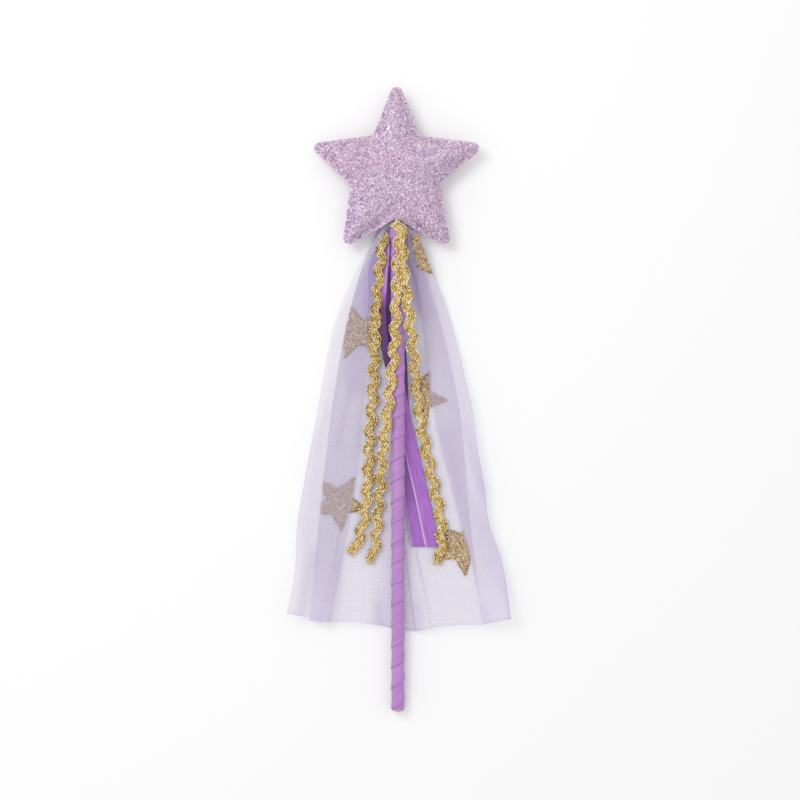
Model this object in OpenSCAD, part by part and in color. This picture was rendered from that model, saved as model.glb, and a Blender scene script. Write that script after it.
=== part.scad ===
// Toy magic wand lying on its back: a padded five-point star on a ribbon-wrapped stick,
// with three gathered organza strips, two satin tails and three zigzag braid tails.
// +Z points up from the table, +Y runs along the stick to the star and +X is to the right.

/* [Stick] */
// Overall length, from the star's top point to the end of the stick
wand_length = 438; // [400:1:530]
// Diameter of the bare wooden dowel
dowel_d = 8; // [6:0.1:9.6]
// Length of dowel inside the star
dowel_insert = 38; // [25:1:46]
// Thickness of the wrapped satin ribbon, with its lap
wrap_t = 0.55; // [0.3:0.01:0.7]
// Advance of the wrapped ribbon in one turn
wrap_pitch = 14.4; // [12:0.01:20]
// Open line between one turn of ribbon and the next, along the stick
wrap_gap = 0.7; // [0.5:0.01:1.5]
// Height of the glue dab that seals the end of the stick
end_dab_h = 1.2; // [0.6:0.1:2]
// Length of the tape that the gathers are sewn to
tape_l = 8; // [6:0.1:10]
// Thickness of that tape
tape_t = 1.1; // [0.8:0.05:1.4]

/* [Star] */
// Radius to the sharp star points, before they are rounded
star_point_r = 68.8; // [57:0.1:83]
// Radius to the sharp notches between the points
star_notch_r = 32.6; // [27:0.1:40]
// Rounding radius of the points
star_tip_round = 5.6; // [4:0.1:7]
// Rounding radius of the notches
star_notch_round = 4; // [2:0.1:6]
// Height of the crown on each side of the seam
star_crown = 11; // [9.5:0.1:14]
// Thickness of the glitter fabric
panel_t = 0.9; // [0.5:0.05:1.4]
// Depth by which the back is pressed flat on the table
rest_cut = 0.5; // [0.3:0.1:1]
// Size of the seam thread
thread_d = 0.5; // [0.3:0.05:0.7]

/* [Organza strips] */
// Length of organza from the star's notch to the hem
veil_drop = 285; // [240:1:340]
// Thickness of one organza layer
veil_t = 0.4; // [0.3:0.05:0.5]
// Distance of the hem's outer corners from the stick
hem_half = 78; // [68:0.5:92]
// Rise of the hem from the stick to its corners
hem_lift = 11; // [5:0.5:16]
// Height of the organza folds at the hem
fold_h = 2.6; // [1:0.1:4]
// Radius of the glitter stars on the organza
motif_r = 20; // [14:0.5:24]
// Thickness of a glitter star
motif_t = 0.2; // [0.15:0.01:0.25]

/* [Tails] */
// Width of the satin tails
satin_w = 10; // [7:0.1:12]
// Thickness of the satin tails
satin_t = 0.3; // [0.2:0.05:0.4]
// Width of the zigzag braid's band
braid_w = 4.7; // [3.8:0.05:5.6]
// Swing of the braid's centre line from side to side
braid_wave = 5.3; // [4:0.1:6.4]
// Length of one wave of the braid
braid_pitch = 14.3; // [11:0.1:17.2]
// Thickness of the braid
braid_t = 0.8; // [0.5:0.05:1]

/* [Clearances] */
// Gap between soft pieces that lie on each other
cloth_gap = 0.35; // [0.3:0.01:0.42]
// Gap between the wrapped ribbon and the dowel
wrap_seat = 0.05; // [0.02:0.01:0.1]

/* [Hidden] */
$fn = 48;

// Colours of the real materials
lilac_glitter = "#c4a6cc";
satin_violet = "#a874c6";
organza_lavender = "#cdc4e0";
gold_braid = "#cfae5a";
gold_glitter = "#b59a74";
beech = "#d9bd92";
clear_glue = "#ece6e2";
wadding_white = "#f2f0ec";

function sq(a) = a * a;
function clamp01(t) = min(1, max(0, t));
function lerp(a, b, t) = a + (b - a) * t;
function ease(t) = sq(clamp01(t)) * (3 - 2 * clamp01(t));

// Star outline: half the angle at a point, half the opening at a notch, and what rounding leaves
arm_step = 72;
tip_half = atan2(star_notch_r * sin(arm_step / 2), star_point_r - star_notch_r * cos(arm_step / 2));
notch_half = arm_step / 2 + tip_half;
star_reach = star_point_r - star_tip_round * (1 / sin(tip_half) - 1);
notch_reach = star_notch_r + star_notch_round * (1 / sin(notch_half) - 1);
star_y = wand_length / 2 - star_reach;
neck_y = star_y - notch_reach;
seam_z = star_crown - rest_cut;

// Wrapped stick: its axis rises from the table at its end to the seam at the notch
dowel_r = dowel_d / 2;
wrap_steps = 16;
wrap_in_r = (dowel_r + wrap_seat) / cos(180 / wrap_steps);
stick_r = wrap_in_r + wrap_t;
tape_in_r = stick_r + wrap_seat;
tape_r = tape_in_r + tape_t;
tape_d = 4;
wrap_top_d = 2.5;
dab_inset = 0.4;
star_dab_h = 2.5;
stick_end_y = end_dab_h - wand_length / 2;
stick_run = neck_y - stick_end_y;
stick_tilt = atan((seam_z - stick_r) / stick_run);
stick_l = stick_run / cos(stick_tilt);
dowel_l = stick_l + dowel_insert;
wrap_l = stick_l - wrap_top_d;

// Height of the stick's axis at a distance below the notch
function axis_z(d) = seam_z - d * tan(stick_tilt);

// Layers on the table: organza, glitter stars, lower satin tail, upper satin tail, braid
motif_z = veil_t + cloth_gap;
wing_z = motif_z + motif_t + cloth_gap;
satin_lower_z = wing_z;
satin_upper_z = satin_lower_z + satin_t + cloth_gap;
braid_z = satin_upper_z + satin_t + cloth_gap;
veil_root_z = seam_z - stick_r - braid_z - cloth_gap;
neck_fall = 62;
wing_fall = 78;

// Folds fan out from a point above the notch and leave the middle flat for the tails
fold_apex = 30;
fold_start_d = 60;
fold_step = 4.2;
fold_left = 7.5;
fold_right = 10;

// The stiff glitter stars keep the organza flat round them: each centre as place across, then below
upper_left_spot = [-28.5, 76.5];
lower_left_spot = [-39, 196];
middle_right_spot = [14.5, 124];
lower_right_spot = [38, 231.5];
back_spots = [upper_left_spot, lower_left_spot, middle_right_spot, lower_right_spot];
flat_margin = 12;
flat_blend = 16;
function off_stars(x, d) =
  min([for (c = back_spots) ease((norm([x, d] - c) - motif_r - flat_margin) / flat_blend)]);
function fold_wave(a) = a > 0 ? 0.5 - 0.5 * cos(360 * a / fold_step) : 0;
function fold_angle(x, d) = atan2(x, d + fold_apex);
function fold(x, d) =
  fold_h * off_stars(x, d) * ease((d - fold_start_d) / (veil_drop - fold_start_d))
  * fold_wave(max(-fold_angle(x, d) - fold_left, fold_angle(x, d) - fold_right));
function neck_rise(d) = veil_root_z * sq(clamp01(1 - d / neck_fall));
function back_z(x, d) = fold(x, d) + neck_rise(d);

// The front strips start along the star's rim beside the notch
wing_root_d = 12.5;
function rim_d(x) = abs(x) / tan(notch_half) + cloth_gap + veil_t / 2;
function front_z(x, d) =
  fold(x, d) + wing_z + (seam_z - wing_z) * sq(clamp01(1 - (d - wing_root_d) / wing_fall));

// A strip: where its root lies at a place across, then left and right edges as root, hem and bow
back_root_d = 4;
back_strip = [function (x) back_root_d, [-14, -0.795 * hem_half, 0.52], [10, 0.763 * hem_half, 0.75]];
left_strip = [function (x) rim_d(x), [-21, -hem_half, 0.62], [-17.3, -0.61 * hem_half, 0.9]];
right_strip = [function (x) rim_d(x), [7, 0.763 * hem_half, 1.15], [17, hem_half, 0.72]];
strip_rows = 14;
row_bow = 1.4;
back_columns = 20;
front_columns = 8;
function edge_x(edge, v) = edge[0] + (edge[1] - edge[0]) * pow(v, edge[2]);
function strip_x(strip, u, v) = lerp(edge_x(strip[1], v), edge_x(strip[2], v), u);
function strip_d(strip, u, v) =
  lerp(strip[0](strip_x(strip, u, 0)), veil_drop - hem_lift * sq(strip_x(strip, u, 1) / hem_half), v);

// Routes of the tails: distance below the notch, then distance from the stick's axis
satin_lower_route = [[14, -6], [55, -8], [85, -5], [125, -0.5], [163, 4.5], [195, 9], [228, 14]];
satin_upper_route = [[14, -6.5], [55, -9.5], [85, -7.5], [120, 0.5], [162, 9.2], [226, 22.5]];
braid_left_route = [[8.6, -11.2], [40, -13.4], [75, -15.6], [105, -17.2], [150, -20], [190, -23], [232, -26]];
braid_middle_route = [
  [0, 0], [50, -0.8], [100, -3.2], [150, -3.3 - stick_r], [190, -7.3 - stick_r], [238, -10.3 - stick_r]
];
braid_right_route = [[0, 0.6], [30, 3], [65, 8.2], [100, 11.6], [150, 18], [200, 26.5], [238, 29.5]];
left_off_stick = braid_wave / 2 + braid_w / 2 + cloth_gap;
left_clear_x = -tape_r - left_off_stick;

// Smooth curve through a route's points, at a distance below the notch
function slope_at(p, i) =
  let (a = max(0, i - 1), b = min(len(p) - 1, i + 1)) (p[b][1] - p[a][1]) / (p[b][0] - p[a][0]);
function span_of(p, d) = max([for (i = [0:len(p) - 2]) if (i == 0 || p[i][0] <= d) i]);
function route_x(p, d) =
  let (
    i = span_of(p, d),
    w = p[i + 1][0] - p[i][0],
    t = clamp01((d - p[i][0]) / w),
    h = ease(t)
  )
  lerp(p[i][1], p[i + 1][1], h)
  + w * t * sq(1 - t) * slope_at(p, i)
  - w * sq(t) * (1 - t) * slope_at(p, i + 1);

// Height of each braid tail: over the tape, along the stick, then down to the layers below
braid_over_tape = tape_r + cloth_gap;
middle_leaves_d = 145;
middle_lands_d = 200;
right_leaves_d = 72;
right_lands_d = 130;
left_root_d = braid_left_route[0][0];
left_fall = 70;
function left_braid_z(d) =
  braid_z + neck_rise(d)
  + (seam_z - braid_z - neck_rise(left_root_d)) * sq(clamp01(1 - (d - left_root_d) / left_fall));
function middle_braid_z(d) =
  lerp(axis_z(d) + braid_over_tape, braid_z,
    ease((d - middle_leaves_d) / (middle_lands_d - middle_leaves_d)));
function right_braid_z(d) =
  lerp(axis_z(d) + braid_over_tape + braid_t + cloth_gap, braid_z,
    ease((d - right_leaves_d) / (right_lands_d - right_leaves_d)));

// Closed skin over rings of equal length, with strip caps or fans at its two ends. Its second half
// is cut along the same diagonals as its first, so that a thin sheet's two faces stay parallel.
module skin(rings, fan = false) {
  m = len(rings[0]);
  n = len(rings);
  points = [for (r = rings) each r];
  centres = fan ? [mean(rings[0]), mean(rings[n - 1])] : [];
  sides = [
    for (j = [0:n - 2], i = [0:m - 1])
      let (a = j * m + i, b = j * m + (i + 1) % m, second = fan ? j >= n / 2 : i >= m / 2)
        each second ? [[a, b, a + m], [b, b + m, a + m]] : [[a, b, b + m], [a, b + m, a + m]]
  ];
  last = (n - 1) * m;
  fans = [
    for (i = [0:m - 1])
      each [[n * m, (i + 1) % m, i], [n * m + 1, last + i, last + (i + 1) % m]]
  ];
  strips = [
    for (i = [0:m / 2 - 2])
      let (o = m - 1 - i)
        each [
          [i, o, i + 1], [i + 1, o, o - 1],
          [last + i, last + i + 1, last + o], [last + i + 1, last + o - 1, last + o]
        ]
  ];
  polyhedron(concat(points, centres), concat(sides, fan ? fans : strips), convexity = 8);
}
function mean(list) = [for (p = list) 1] * list / len(list);

// Places a piece that is drawn along +Z on the stick's axis, from the stick's end
module on_stick(from = 0) {
  translate([0, stick_end_y, stick_r]) rotate([stick_tilt - 90, 0, 0]) translate([0, 0, from]) children();
}

// Point on the table from a distance off the axis, a distance below the notch and a height
function place(x, d, z) = [x, neck_y - d, z];

// Star outline as points round arcs at the points and notches, with a few along each edge
tip_points = 5;
notch_points = 3;
edge_shares = [0.14, 0.5];
function arc(c, r, from, to, n) =
  [for (k = [0:n - 1]) let (a = lerp(from, to, k / (n - 1))) c + r * [cos(a), sin(a)]];
function tip_arc(a) =
  arc((star_point_r - star_tip_round / sin(tip_half)) * [cos(a), sin(a)], star_tip_round,
    a - 90 + tip_half, a + 90 - tip_half, tip_points);
function notch_arc(a) =
  arc((star_notch_r + star_notch_round / sin(notch_half)) * [cos(a), sin(a)], star_notch_round,
    a + 270 - notch_half, a + 90 + notch_half, notch_points);
function between(p, q, shares) = [for (t = shares) lerp(p, q, t)];
function reversed(list) = [for (i = [len(list) - 1:-1:0]) 1 - list[i]];
star_outline = [
  for (k = [0:4])
    let (
      a = 90 + k * arm_step,
      tip = tip_arc(a),
      notch = notch_arc(a + arm_step / 2),
      next = tip_arc(a + arm_step)
    )
    each concat(tip, between(tip[tip_points - 1], notch[0], reversed(edge_shares)), notch,
      between(notch[notch_points - 1], next[0], edge_shares))
];

// Crown of the cushion over its outline, and the arch that lets the dowel through the bottom notch
stitch_s = 0.94;
crown_bow = 0.6;
crown_rings = [0.2, 0.42, 0.62, 0.78, 0.88];
arch_half = 13;
arch_clear = 0.65;
arch_h = dowel_r + arch_clear;
function crown(s) = (star_crown - panel_t) * pow(1 - sq(min(1, s / stitch_s)), crown_bow);
function arch(p) = p.y < 0 ? arch_h * max(0, 1 - sq(p.x / arch_half)) : 0;
function swell(s, p) = max(crown(s), arch(p));
function star_ring(s, z_of) = [for (o = star_outline) let (p = s * o) [p.x, star_y + p.y, z_of(s, p)]];

front_outer = function (s, p) seam_z + swell(s, p) + panel_t;
front_inner = function (s, p) seam_z + swell(s, p);
back_outer = function (s, p) max(0, seam_z - swell(s, p) - panel_t);
back_inner = function (s, p) max(panel_t, seam_z - swell(s, p));

function panel_rings(outer, inner) = concat(
  [for (s = concat(crown_rings, [stitch_s, 1])) star_ring(s, outer)],
  [for (i = [len(crown_rings) + 1:-1:0]) star_ring(concat(crown_rings, [stitch_s, 1])[i], inner)]
);

// The wadding fills the crown above and below the dowel
pad_rings = [for (i = [0:2]) crown_rings[i]];
pad_front_z = seam_z + dowel_r + dowel_insert * tan(stick_tilt) + cloth_gap;
pad_back_z = seam_z - dowel_r - cloth_gap;
function flat_ring(s, z) = star_ring(s, function (s, p) z);

module dowel() {
  color(beech) on_stick() cylinder(d = dowel_d, h = dowel_l);
}

module handle_wrap() {
  band = wrap_pitch - wrap_gap;
  first = 2 - wrap_steps;
  last = floor((wrap_l - band) / wrap_pitch * wrap_steps);
  rings = [
    for (i = [first:last])
      let (
        a = i * 360 / wrap_steps,
        low = wrap_pitch * i / wrap_steps,
        inner = wrap_in_r * [cos(a), sin(a)],
        outer = stick_r * [cos(a), sin(a)]
      )
      [
        [inner.x, inner.y, max(0, low)], [outer.x, outer.y, max(0, low)],
        [outer.x, outer.y, low + band], [inner.x, inner.y, low + band]
      ]
  ];
  gaps = [
    for (i = [0:len(rings) - wrap_steps - 2], k = [-1:1])
      norm(rings[i][2] - rings[i + wrap_steps + k][1])
  ];
  echo(least_gap_between_wrap_turns = min(gaps));
  color(satin_violet) on_stick() skin(rings);
}

// Low dome of hot-melt glue, drawn round the stick's axis
module glue_dome(r, h) {
  rotate_extrude() intersection() {
    translate([0, (sq(h) - sq(r)) / (2 * h)]) circle(r = (sq(h) + sq(r)) / (2 * h), $fn = 96);
    square([r, h]);
  }
}

module end_glue_dab() {
  color(clear_glue) on_stick() mirror([0, 0, 1]) glue_dome(dowel_r - dab_inset, end_dab_h);
}

module neck_tape() {
  color(satin_violet) on_stick(stick_l - tape_d - tape_l) difference() {
    cylinder(r = tape_r, h = tape_l);
    translate([0, 0, -1]) cylinder(r = tape_in_r, h = tape_l + 2);
  }
}

module star_front_panel() {
  color(lilac_glitter) skin(panel_rings(front_outer, front_inner), fan = true);
}

module star_back_panel() {
  color(lilac_glitter) mirror_skin(panel_rings(back_outer, back_inner));
}

// Skin whose rings run the other way round
module mirror_skin(rings) {
  skin([for (r = rings) [for (i = [len(r) - 1:-1:0]) r[i]]], fan = true);
}

module star_wadding_front() {
  top = [for (s = pad_rings) star_ring(s, function (s, p) seam_z + crown(s) - cloth_gap)];
  color(wadding_white) skin(concat(top, [flat_ring(pad_rings[2], pad_front_z)]), fan = true);
}

module star_wadding_back() {
  low = [for (s = pad_rings) star_ring(s, function (s, p) back_inner(s, p) + cloth_gap)];
  color(wadding_white) mirror_skin(concat(low, [flat_ring(pad_rings[2], pad_back_z)]));
}

module star_seam_thread() {
  thread_s = (1 + stitch_s) / 2;
  inner = thread_s - thread_d / star_reach;
  z_of = function (s, p) front_outer(stitch_s, stitch_s / s * p) + wrap_seat;
  low_in = star_ring(inner, z_of);
  low_out = star_ring(thread_s, z_of);
  up = [0, 0, thread_d];
  m = len(low_in);
  points = [for (i = [0:m - 1]) each [low_in[i], low_out[i], low_out[i] + up, low_in[i] + up]];
  faces = [
    for (i = [0:m - 1], j = [0:3])
      let (k = (i + 1) % m, q = (j + 1) % 4, a = 4 * i + j, b = 4 * i + q, c = 4 * k + j, e = 4 * k + q)
        each [[a, b, e], [a, e, c]]
  ];
  color(lilac_glitter) polyhedron(points, faces, convexity = 8);
}

module star_glue_dab() {
  color(clear_glue) on_stick(dowel_l) glue_dome(dowel_r - dab_inset, star_dab_h);
}

// One organza strip, folded as its height function says
module organza(strip, columns, z_of) {
  rings = [
    for (j = [0:strip_rows])
      let (
        v = pow(j / strip_rows, row_bow),
        row = [for (i = [0:columns]) [strip_x(strip, i / columns, v), strip_d(strip, i / columns, v)]]
      )
      concat(
        [for (i = [0:columns]) place(row[i][0], row[i][1], z_of(row[i][0], row[i][1]) + veil_t)],
        [for (i = [columns:-1:0]) place(row[i][0], row[i][1], z_of(row[i][0], row[i][1]))]
      )
  ];
  color(organza_lavender) skin(rings);
}

module veil_back() {
  organza(back_strip, back_columns, function (x, d) back_z(x, d));
}

module veil_left() {
  organza(left_strip, front_columns, function (x, d) front_z(x, d));
}

module veil_right() {
  organza(right_strip, front_columns, function (x, d) front_z(x, d));
}

// A glitter star laid on a strip: its centre, its turn, and folded in where the strip ends
motif_notch = 0.46;
motif_margin = 3;
motif_fold = 0.2;
function folded_in(x, low, high) =
  x < low ? low + motif_fold * (x - low) : x > high ? high + motif_fold * (x - high) : x;
function edge_at(strip, side, d) =
  let (first = strip_d(strip, side, 0), v = clamp01((d - first) / (strip_d(strip, side, 1) - first)))
  edge_x(strip[1 + side], v);
motif_rings = [0.3, 0.65, 1];
module glitter_star(strip, c, turn, z_of) {
  outline = [
    for (k = [0:9])
      let (r = motif_r * (k % 2 == 0 ? 1 : motif_notch), a = turn + 36 * k) r * [cos(a), sin(a)]
  ];
  ring = function (s, up) [
    for (o = outline)
      let (
        d = c.y - s * o.y,
        low = edge_at(strip, 0, d) + motif_margin,
        high = edge_at(strip, 1, d) - motif_margin,
        x = folded_in(c.x + s * o.x, low, high)
      )
      place(x, d, z_of(x, d) + up)
  ];
  top = [for (s = motif_rings) ring(s, motif_t)];
  bottom = [for (i = [len(motif_rings) - 1:-1:0]) ring(motif_rings[i], 0)];
  color(gold_glitter) skin(concat(top, bottom), fan = true);
}

module star_on_back(c, turn) {
  glitter_star(back_strip, c, turn, function (x, d) back_z(x, d) + motif_z);
}

module glitter_star_upper_left() {
  star_on_back(upper_left_spot, 103);
}

module glitter_star_lower_left() {
  star_on_back(lower_left_spot, -93);
}

module glitter_star_middle_right() {
  star_on_back(middle_right_spot, 68);
}

module glitter_star_lower_right() {
  star_on_back(lower_right_spot, -60);
}

module glitter_star_upper_right() {
  glitter_star(right_strip, [17, 36], 92, function (x, d) front_z(x, d) + motif_z);
}

// A satin tail lies flat along its route
module satin_tail(route, lift) {
  steps = 36;
  first = route[0][0];
  last = route[len(route) - 1][0];
  rings = [
    for (i = [0:steps])
      let (d = lerp(first, last, i / steps), x = route_x(route, d), z = neck_rise(d) + lift, h = satin_w / 2)
      [place(x - h, d, z), place(x - h, d, z + satin_t), place(x + h, d, z + satin_t), place(x + h, d, z)]
  ];
  color(satin_violet) skin(rings);
}

module satin_tail_lower() {
  satin_tail(satin_lower_route, satin_lower_z);
}

module satin_tail_upper() {
  satin_tail(satin_upper_route, satin_upper_z);
}

// A zigzag braid tail: its band keeps its width across the slope of each wave
module braid_tail(route, turn, z_of, most = 1000) {
  per_wave = 8;
  first = route[0][0];
  count = floor((route[len(route) - 1][0] - first) / braid_pitch * per_wave);
  steep = PI * braid_wave / braid_pitch;
  rings = [
    for (i = [0:count])
      let (
        d = first + i * braid_pitch / per_wave,
        a = 360 * i / per_wave + turn,
        x = min(most, route_x(route, d)) + braid_wave / 2 * sin(a),
        h = braid_w / 2 * sqrt(1 + sq(steep * cos(a))),
        z = z_of(d)
      )
      [place(x - h, d, z), place(x - h, d, z + braid_t), place(x + h, d, z + braid_t), place(x + h, d, z)]
  ];
  color(gold_braid) skin(rings);
}

module ricrac_left() {
  braid_tail(braid_left_route, 0, function (d) left_braid_z(d), left_clear_x);
}

module ricrac_middle() {
  braid_tail(braid_middle_route, 180, function (d) middle_braid_z(d));
}

module ricrac_right() {
  braid_tail(braid_right_route, 90, function (d) right_braid_z(d));
}

dowel();
handle_wrap();
end_glue_dab();
neck_tape();
star_front_panel();
star_back_panel();
star_wadding_front();
star_wadding_back();
star_seam_thread();
star_glue_dab();
veil_back();
veil_left();
veil_right();
glitter_star_upper_left();
glitter_star_lower_left();
glitter_star_middle_right();
glitter_star_lower_right();
glitter_star_upper_right();
satin_tail_lower();
satin_tail_upper();
ricrac_left();
ricrac_middle();
ricrac_right();
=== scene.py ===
"""Toy magic wand: the soft pieces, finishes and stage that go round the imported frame."""

import math

import bmesh
import bpy
import numpy as np
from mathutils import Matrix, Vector
from mathutils.geometry import delaunay_2d_cdt


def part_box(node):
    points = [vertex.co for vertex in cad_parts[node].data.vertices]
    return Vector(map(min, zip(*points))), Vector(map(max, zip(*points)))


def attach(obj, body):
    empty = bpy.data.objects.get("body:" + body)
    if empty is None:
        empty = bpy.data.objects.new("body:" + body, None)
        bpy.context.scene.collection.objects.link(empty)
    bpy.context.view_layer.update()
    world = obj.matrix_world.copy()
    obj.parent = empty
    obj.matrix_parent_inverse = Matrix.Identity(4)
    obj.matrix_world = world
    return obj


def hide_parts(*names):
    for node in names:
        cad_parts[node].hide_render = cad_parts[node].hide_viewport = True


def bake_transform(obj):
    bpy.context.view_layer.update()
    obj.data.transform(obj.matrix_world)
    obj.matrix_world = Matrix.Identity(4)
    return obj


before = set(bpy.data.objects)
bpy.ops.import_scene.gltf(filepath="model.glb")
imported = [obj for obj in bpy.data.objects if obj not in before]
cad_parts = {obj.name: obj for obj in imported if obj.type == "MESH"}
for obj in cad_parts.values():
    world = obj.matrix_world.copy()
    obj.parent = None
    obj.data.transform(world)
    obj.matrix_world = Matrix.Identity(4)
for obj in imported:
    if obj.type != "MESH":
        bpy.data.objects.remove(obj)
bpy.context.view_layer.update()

bl_info = {
    "name": "Toy magic wand",
    "version": (1, 0, 0),
    "blender": (4, 5, 0),
    "location": "View3D > Sidebar > Wand",
    "description": "Padded glitter star on a wrapped stick, with organza, satin and zigzag braid tails",
    "category": "Object",
}

# Lengths in this file are millimetres unless a property gives them in metres
MM = 0.001


def corners(node):
    """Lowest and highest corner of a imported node."""
    low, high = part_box(node)
    return np.array(low) / MM, np.array(high) / MM


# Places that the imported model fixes
SEAM_Z = corners("star_front_panel")[0][2]
STAR_TOP_Y = corners("star_front_panel")[1][1]
NECK_Y = corners("ricrac_middle")[1][1]
STICK_LOW, STICK_HIGH = corners("handle_wrap")
STICK_R = (STICK_HIGH[0] - STICK_LOW[0]) / 2
STICK_RUN = NECK_Y - STICK_LOW[1]
STICK_SLOPE = (SEAM_Z - STICK_R) / STICK_RUN
TAPE_R = corners("neck_tape")[1][0]

# Heights of the layers on the table, and how they rise to the neck
BACK_Z = 0.2
MOTIF_LIFT = 0.65
WING_Z = 1.5
SATIN_LOWER_Z = 1.45
SATIN_UPPER_Z = 2.1
BRAID_Z = 3.0
ROOM_UNDER_STICK = 2.95
ROOT_RISE = SEAM_Z - STICK_R - ROOM_UNDER_STICK
NECK_FALL = 62
WING_FALL = 78
WING_ROOT = 12.5
WING_OVER_TAPE = 0.45

# Folds of the organza: where they fan out from, degrees to the first ones and from fold to fold, and height
FAN_ABOVE = 30.0
FIRST_FOLD_LEFT = 7.5
FIRST_FOLD_RIGHT = 10.0
FOLD_STEP = 4.2
FOLD_HEIGHT = 2.6

# Edges of the organza strips and routes of the tails: distance below the notch, distance from the stick
BACK_LEFT = [(4, -14), (24, -22.5), (55, -32), (125, -45.5), (181, -52.5), (280, -62)]
BACK_RIGHT = [(4, 10), (40, 21), (83, 33), (139, 44), (195, 49), (223, 52), (283, 60)]
LEFT_OUT = [(5, -11), (20, -21), (55, -38.5), (74, -45), (111, -52.5), (139, -57.5), (178, -65),
            (212, -70.5), (252, -73), (274, -77.5)]
LEFT_IN = [(0.6, -5), (14, -13), (24, -18.5), (55, -21), (111, -24), (180, -29.5), (223, -37), (281, -47.5)]
RIGHT_IN = [(0.6, 3.6), (10, 6.8), (28, 8.5), (37, 12.5), (55, 15.5), (114, 21.7), (139, 26), (184, 37),
            (215, 44.5), (237, 51), (282, 60)]
RIGHT_OUT = [(10.5, 14.8), (20, 18.4), (33, 23.4), (55, 32.4), (85, 41.3), (103, 45.5), (134, 52.5),
             (158, 55.5), (188, 61), (210, 63.5), (237, 72.5), (278, 79)]
SATIN_LOWER = [(14, -6), (55, -5), (85, 0), (125, 2.5), (163, 5.5), (195, 9.3), (228, 14)]
SATIN_UPPER = [(14, -6.5), (55, -9.5), (85, -7.5), (120, 0.5), (162, 9.5), (196, 17.4), (228, 24)]
BRAID_LEFT = [(8.6, -10.4), (24, -11.9), (51, -14.4), (79, -15.9), (107, -17), (149, -19.7), (191, -22),
              (216, -25.6), (231, -31)]
BRAID_MIDDLE = [(1.9, -1.8), (6, 0), (30, -0.3), (62, -1.3), (93, -3), (124, -6.3), (153, -9.9), (196, -13.4),
                (224, -15.8), (237, -18)]
BRAID_RIGHT = [(1.9, -1.2), (6, 1.4), (20, 2.6), (34, 3.8), (62, 7.3), (95, 11), (126, 14), (156, 18.9),
               (185, 25.3), (213, 30.3), (238, 29.5)]

# Waves of the braids: distance below the notch, count of waves, whole where the braid swings left
LEFT_WAVES = [(5.9, 0), (229.9, 16)]
MIDDLE_WAVES = [(0.3, 0), (150, 10), (234, 16)]
RIGHT_WAVES = [(0.3, 0), (234.8, 16)]

# Braid: step along its line, ripple up and down, floats across the band, and strands of a frayed end
BRAID_STEP = 0.4
BRAID_RIPPLE = 0.12
FLOAT_ROWS = (-0.37, -0.125, 0.125, 0.37)
FRAY_COUNT = 22
FRAY_RINGS = 5
FRAY_SIDES = 4

# Satin tails: rows, columns, and the place of the folded ridge from -1 to 1 across the ribbon
SATIN_ROWS = 110
SATIN_COLUMNS = 25
RIDGE = 0.2
RIBBON_THICK = 0.25

# Organza: rows, turned edge, extra layers at the sides and the hem, and how far the hem curls up
STRIP_ROWS = 96
TURNED_EDGE = 0.7
SIDE_LAYERS = 0.7
HEM_LAYERS = 0.5
HEM_CURL = 5.5

# Pleats pressed into the back strip, with their layers and width
PLEATS = [[(228, 4.8), (286, 11.7)], [(230, 12.7), (286, 23.8)], [(180, -33), (286, -55)]]
PLEAT_LAYERS = 1.2
PLEAT_WIDTH = 0.6

# Uneven gathers of the back strip: route, width, layers added. They fade in and out at their ends
GATHERS = [
    # The first gather, left of the left braid, and the third, right of the middle braid near the neck, are
    # partly real gathers and partly painted shade: their extra layers darken the cloth where the braids and
    # the dark satin shade it
    ([(12, -13), (30, -18), (45, -20.5), (72, -22)], 3.0, 1.5),
    ([(18, -20), (60, -25), (130, -31)], 9.0, 0.7),
    ([(18, 9), (42, 12.5), (72, 17)], 3.0, 1.1),
    ([(62, 24), (100, 28), (150, 32)], 9.0, -0.5),
]
GATHER_FADE = 16.0

# Glitter stars on the organza: node, place across, distance below the notch, turn in degrees
BACK_MOTIFS = [
    ("glitter_star_upper_left", -29.8, 76.5, 103),
    ("glitter_star_lower_left", -41.5, 197, -86),
    ("glitter_star_middle_right", 14.5, 124, 68),
    ("glitter_star_lower_right", 45, 228.5, -83),
]
WING_MOTIF = ("glitter_star_upper_right", 13.8, 23, 96)

# Folds that a glitter star is turned under at, to its left and right, and above it
TURNED_LEFT = {
    "glitter_star_middle_right": [(90, 10.6), (160, 13.6)],
    "glitter_star_upper_right": [(0, 6.4), (10.8, 8.4), (35, 14), (60, 21)],
}
TURNED_RIGHT = {
    "glitter_star_lower_right": [(200, 40.4), (217, 46), (234, 50.9), (244, 50.8), (260, 50.4)],
}
TURNED_ABOVE = {"glitter_star_lower_right": 216.5, "glitter_star_upper_right": 9.4}

# Printed stars: margin at a fold, notch as a share of the point, triangle size and thickness
PRINT_MARGIN = 0.6
PRINT_NOTCH = 0.46
PRINT_MESH = 1.6
PRINT_THICK = 0.12

# Sewn star: place left of the stick, where a panel starts above the seam, run and fullness of its crown,
# half width of its arch over the stick, top of its seam, triangle size, cloth thickness, least height over
# the table, frames in which the filling pushes it out and the most that this adds
STAR_X = -1.0
PANEL_START = 1.05
CROWN_RUN = 24
CROWN_FULLNESS = 0.68
ARCH_HALF = 13
SEAM_TOP = 0.95
STAR_MESH = 2.5
STAR_CLOTH = 0.4
TABLE_GAP = 0.4
FILLING_FRAMES = 20
MOST_SWELL = 1.6

# Uneven notches of the sewn star, from the upper left one round by the neck: turn in degrees, shift outwards
UNEVEN_NOTCHES = [(-3.7, -0.9), (-3.7, 0.9), (0, 0), (3.7, -0.7), (3.7, -1.2)]

# Stage floor, and plain white
FLOOR_HALF = 12000
FLOOR_Z = -0.1
WHITE = [1.0, 1.0, 1.0, 1.0]


def srgb(code):
    """Linear colour of a hex colour as it is seen."""
    parts = [int(code[i:i + 2], 16) / 255 for i in (1, 3, 5)]
    return [c / 12.92 if c <= 0.04045 else ((c + 0.055) / 1.055) ** 2.4 for c in parts] + [1.0]


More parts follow.
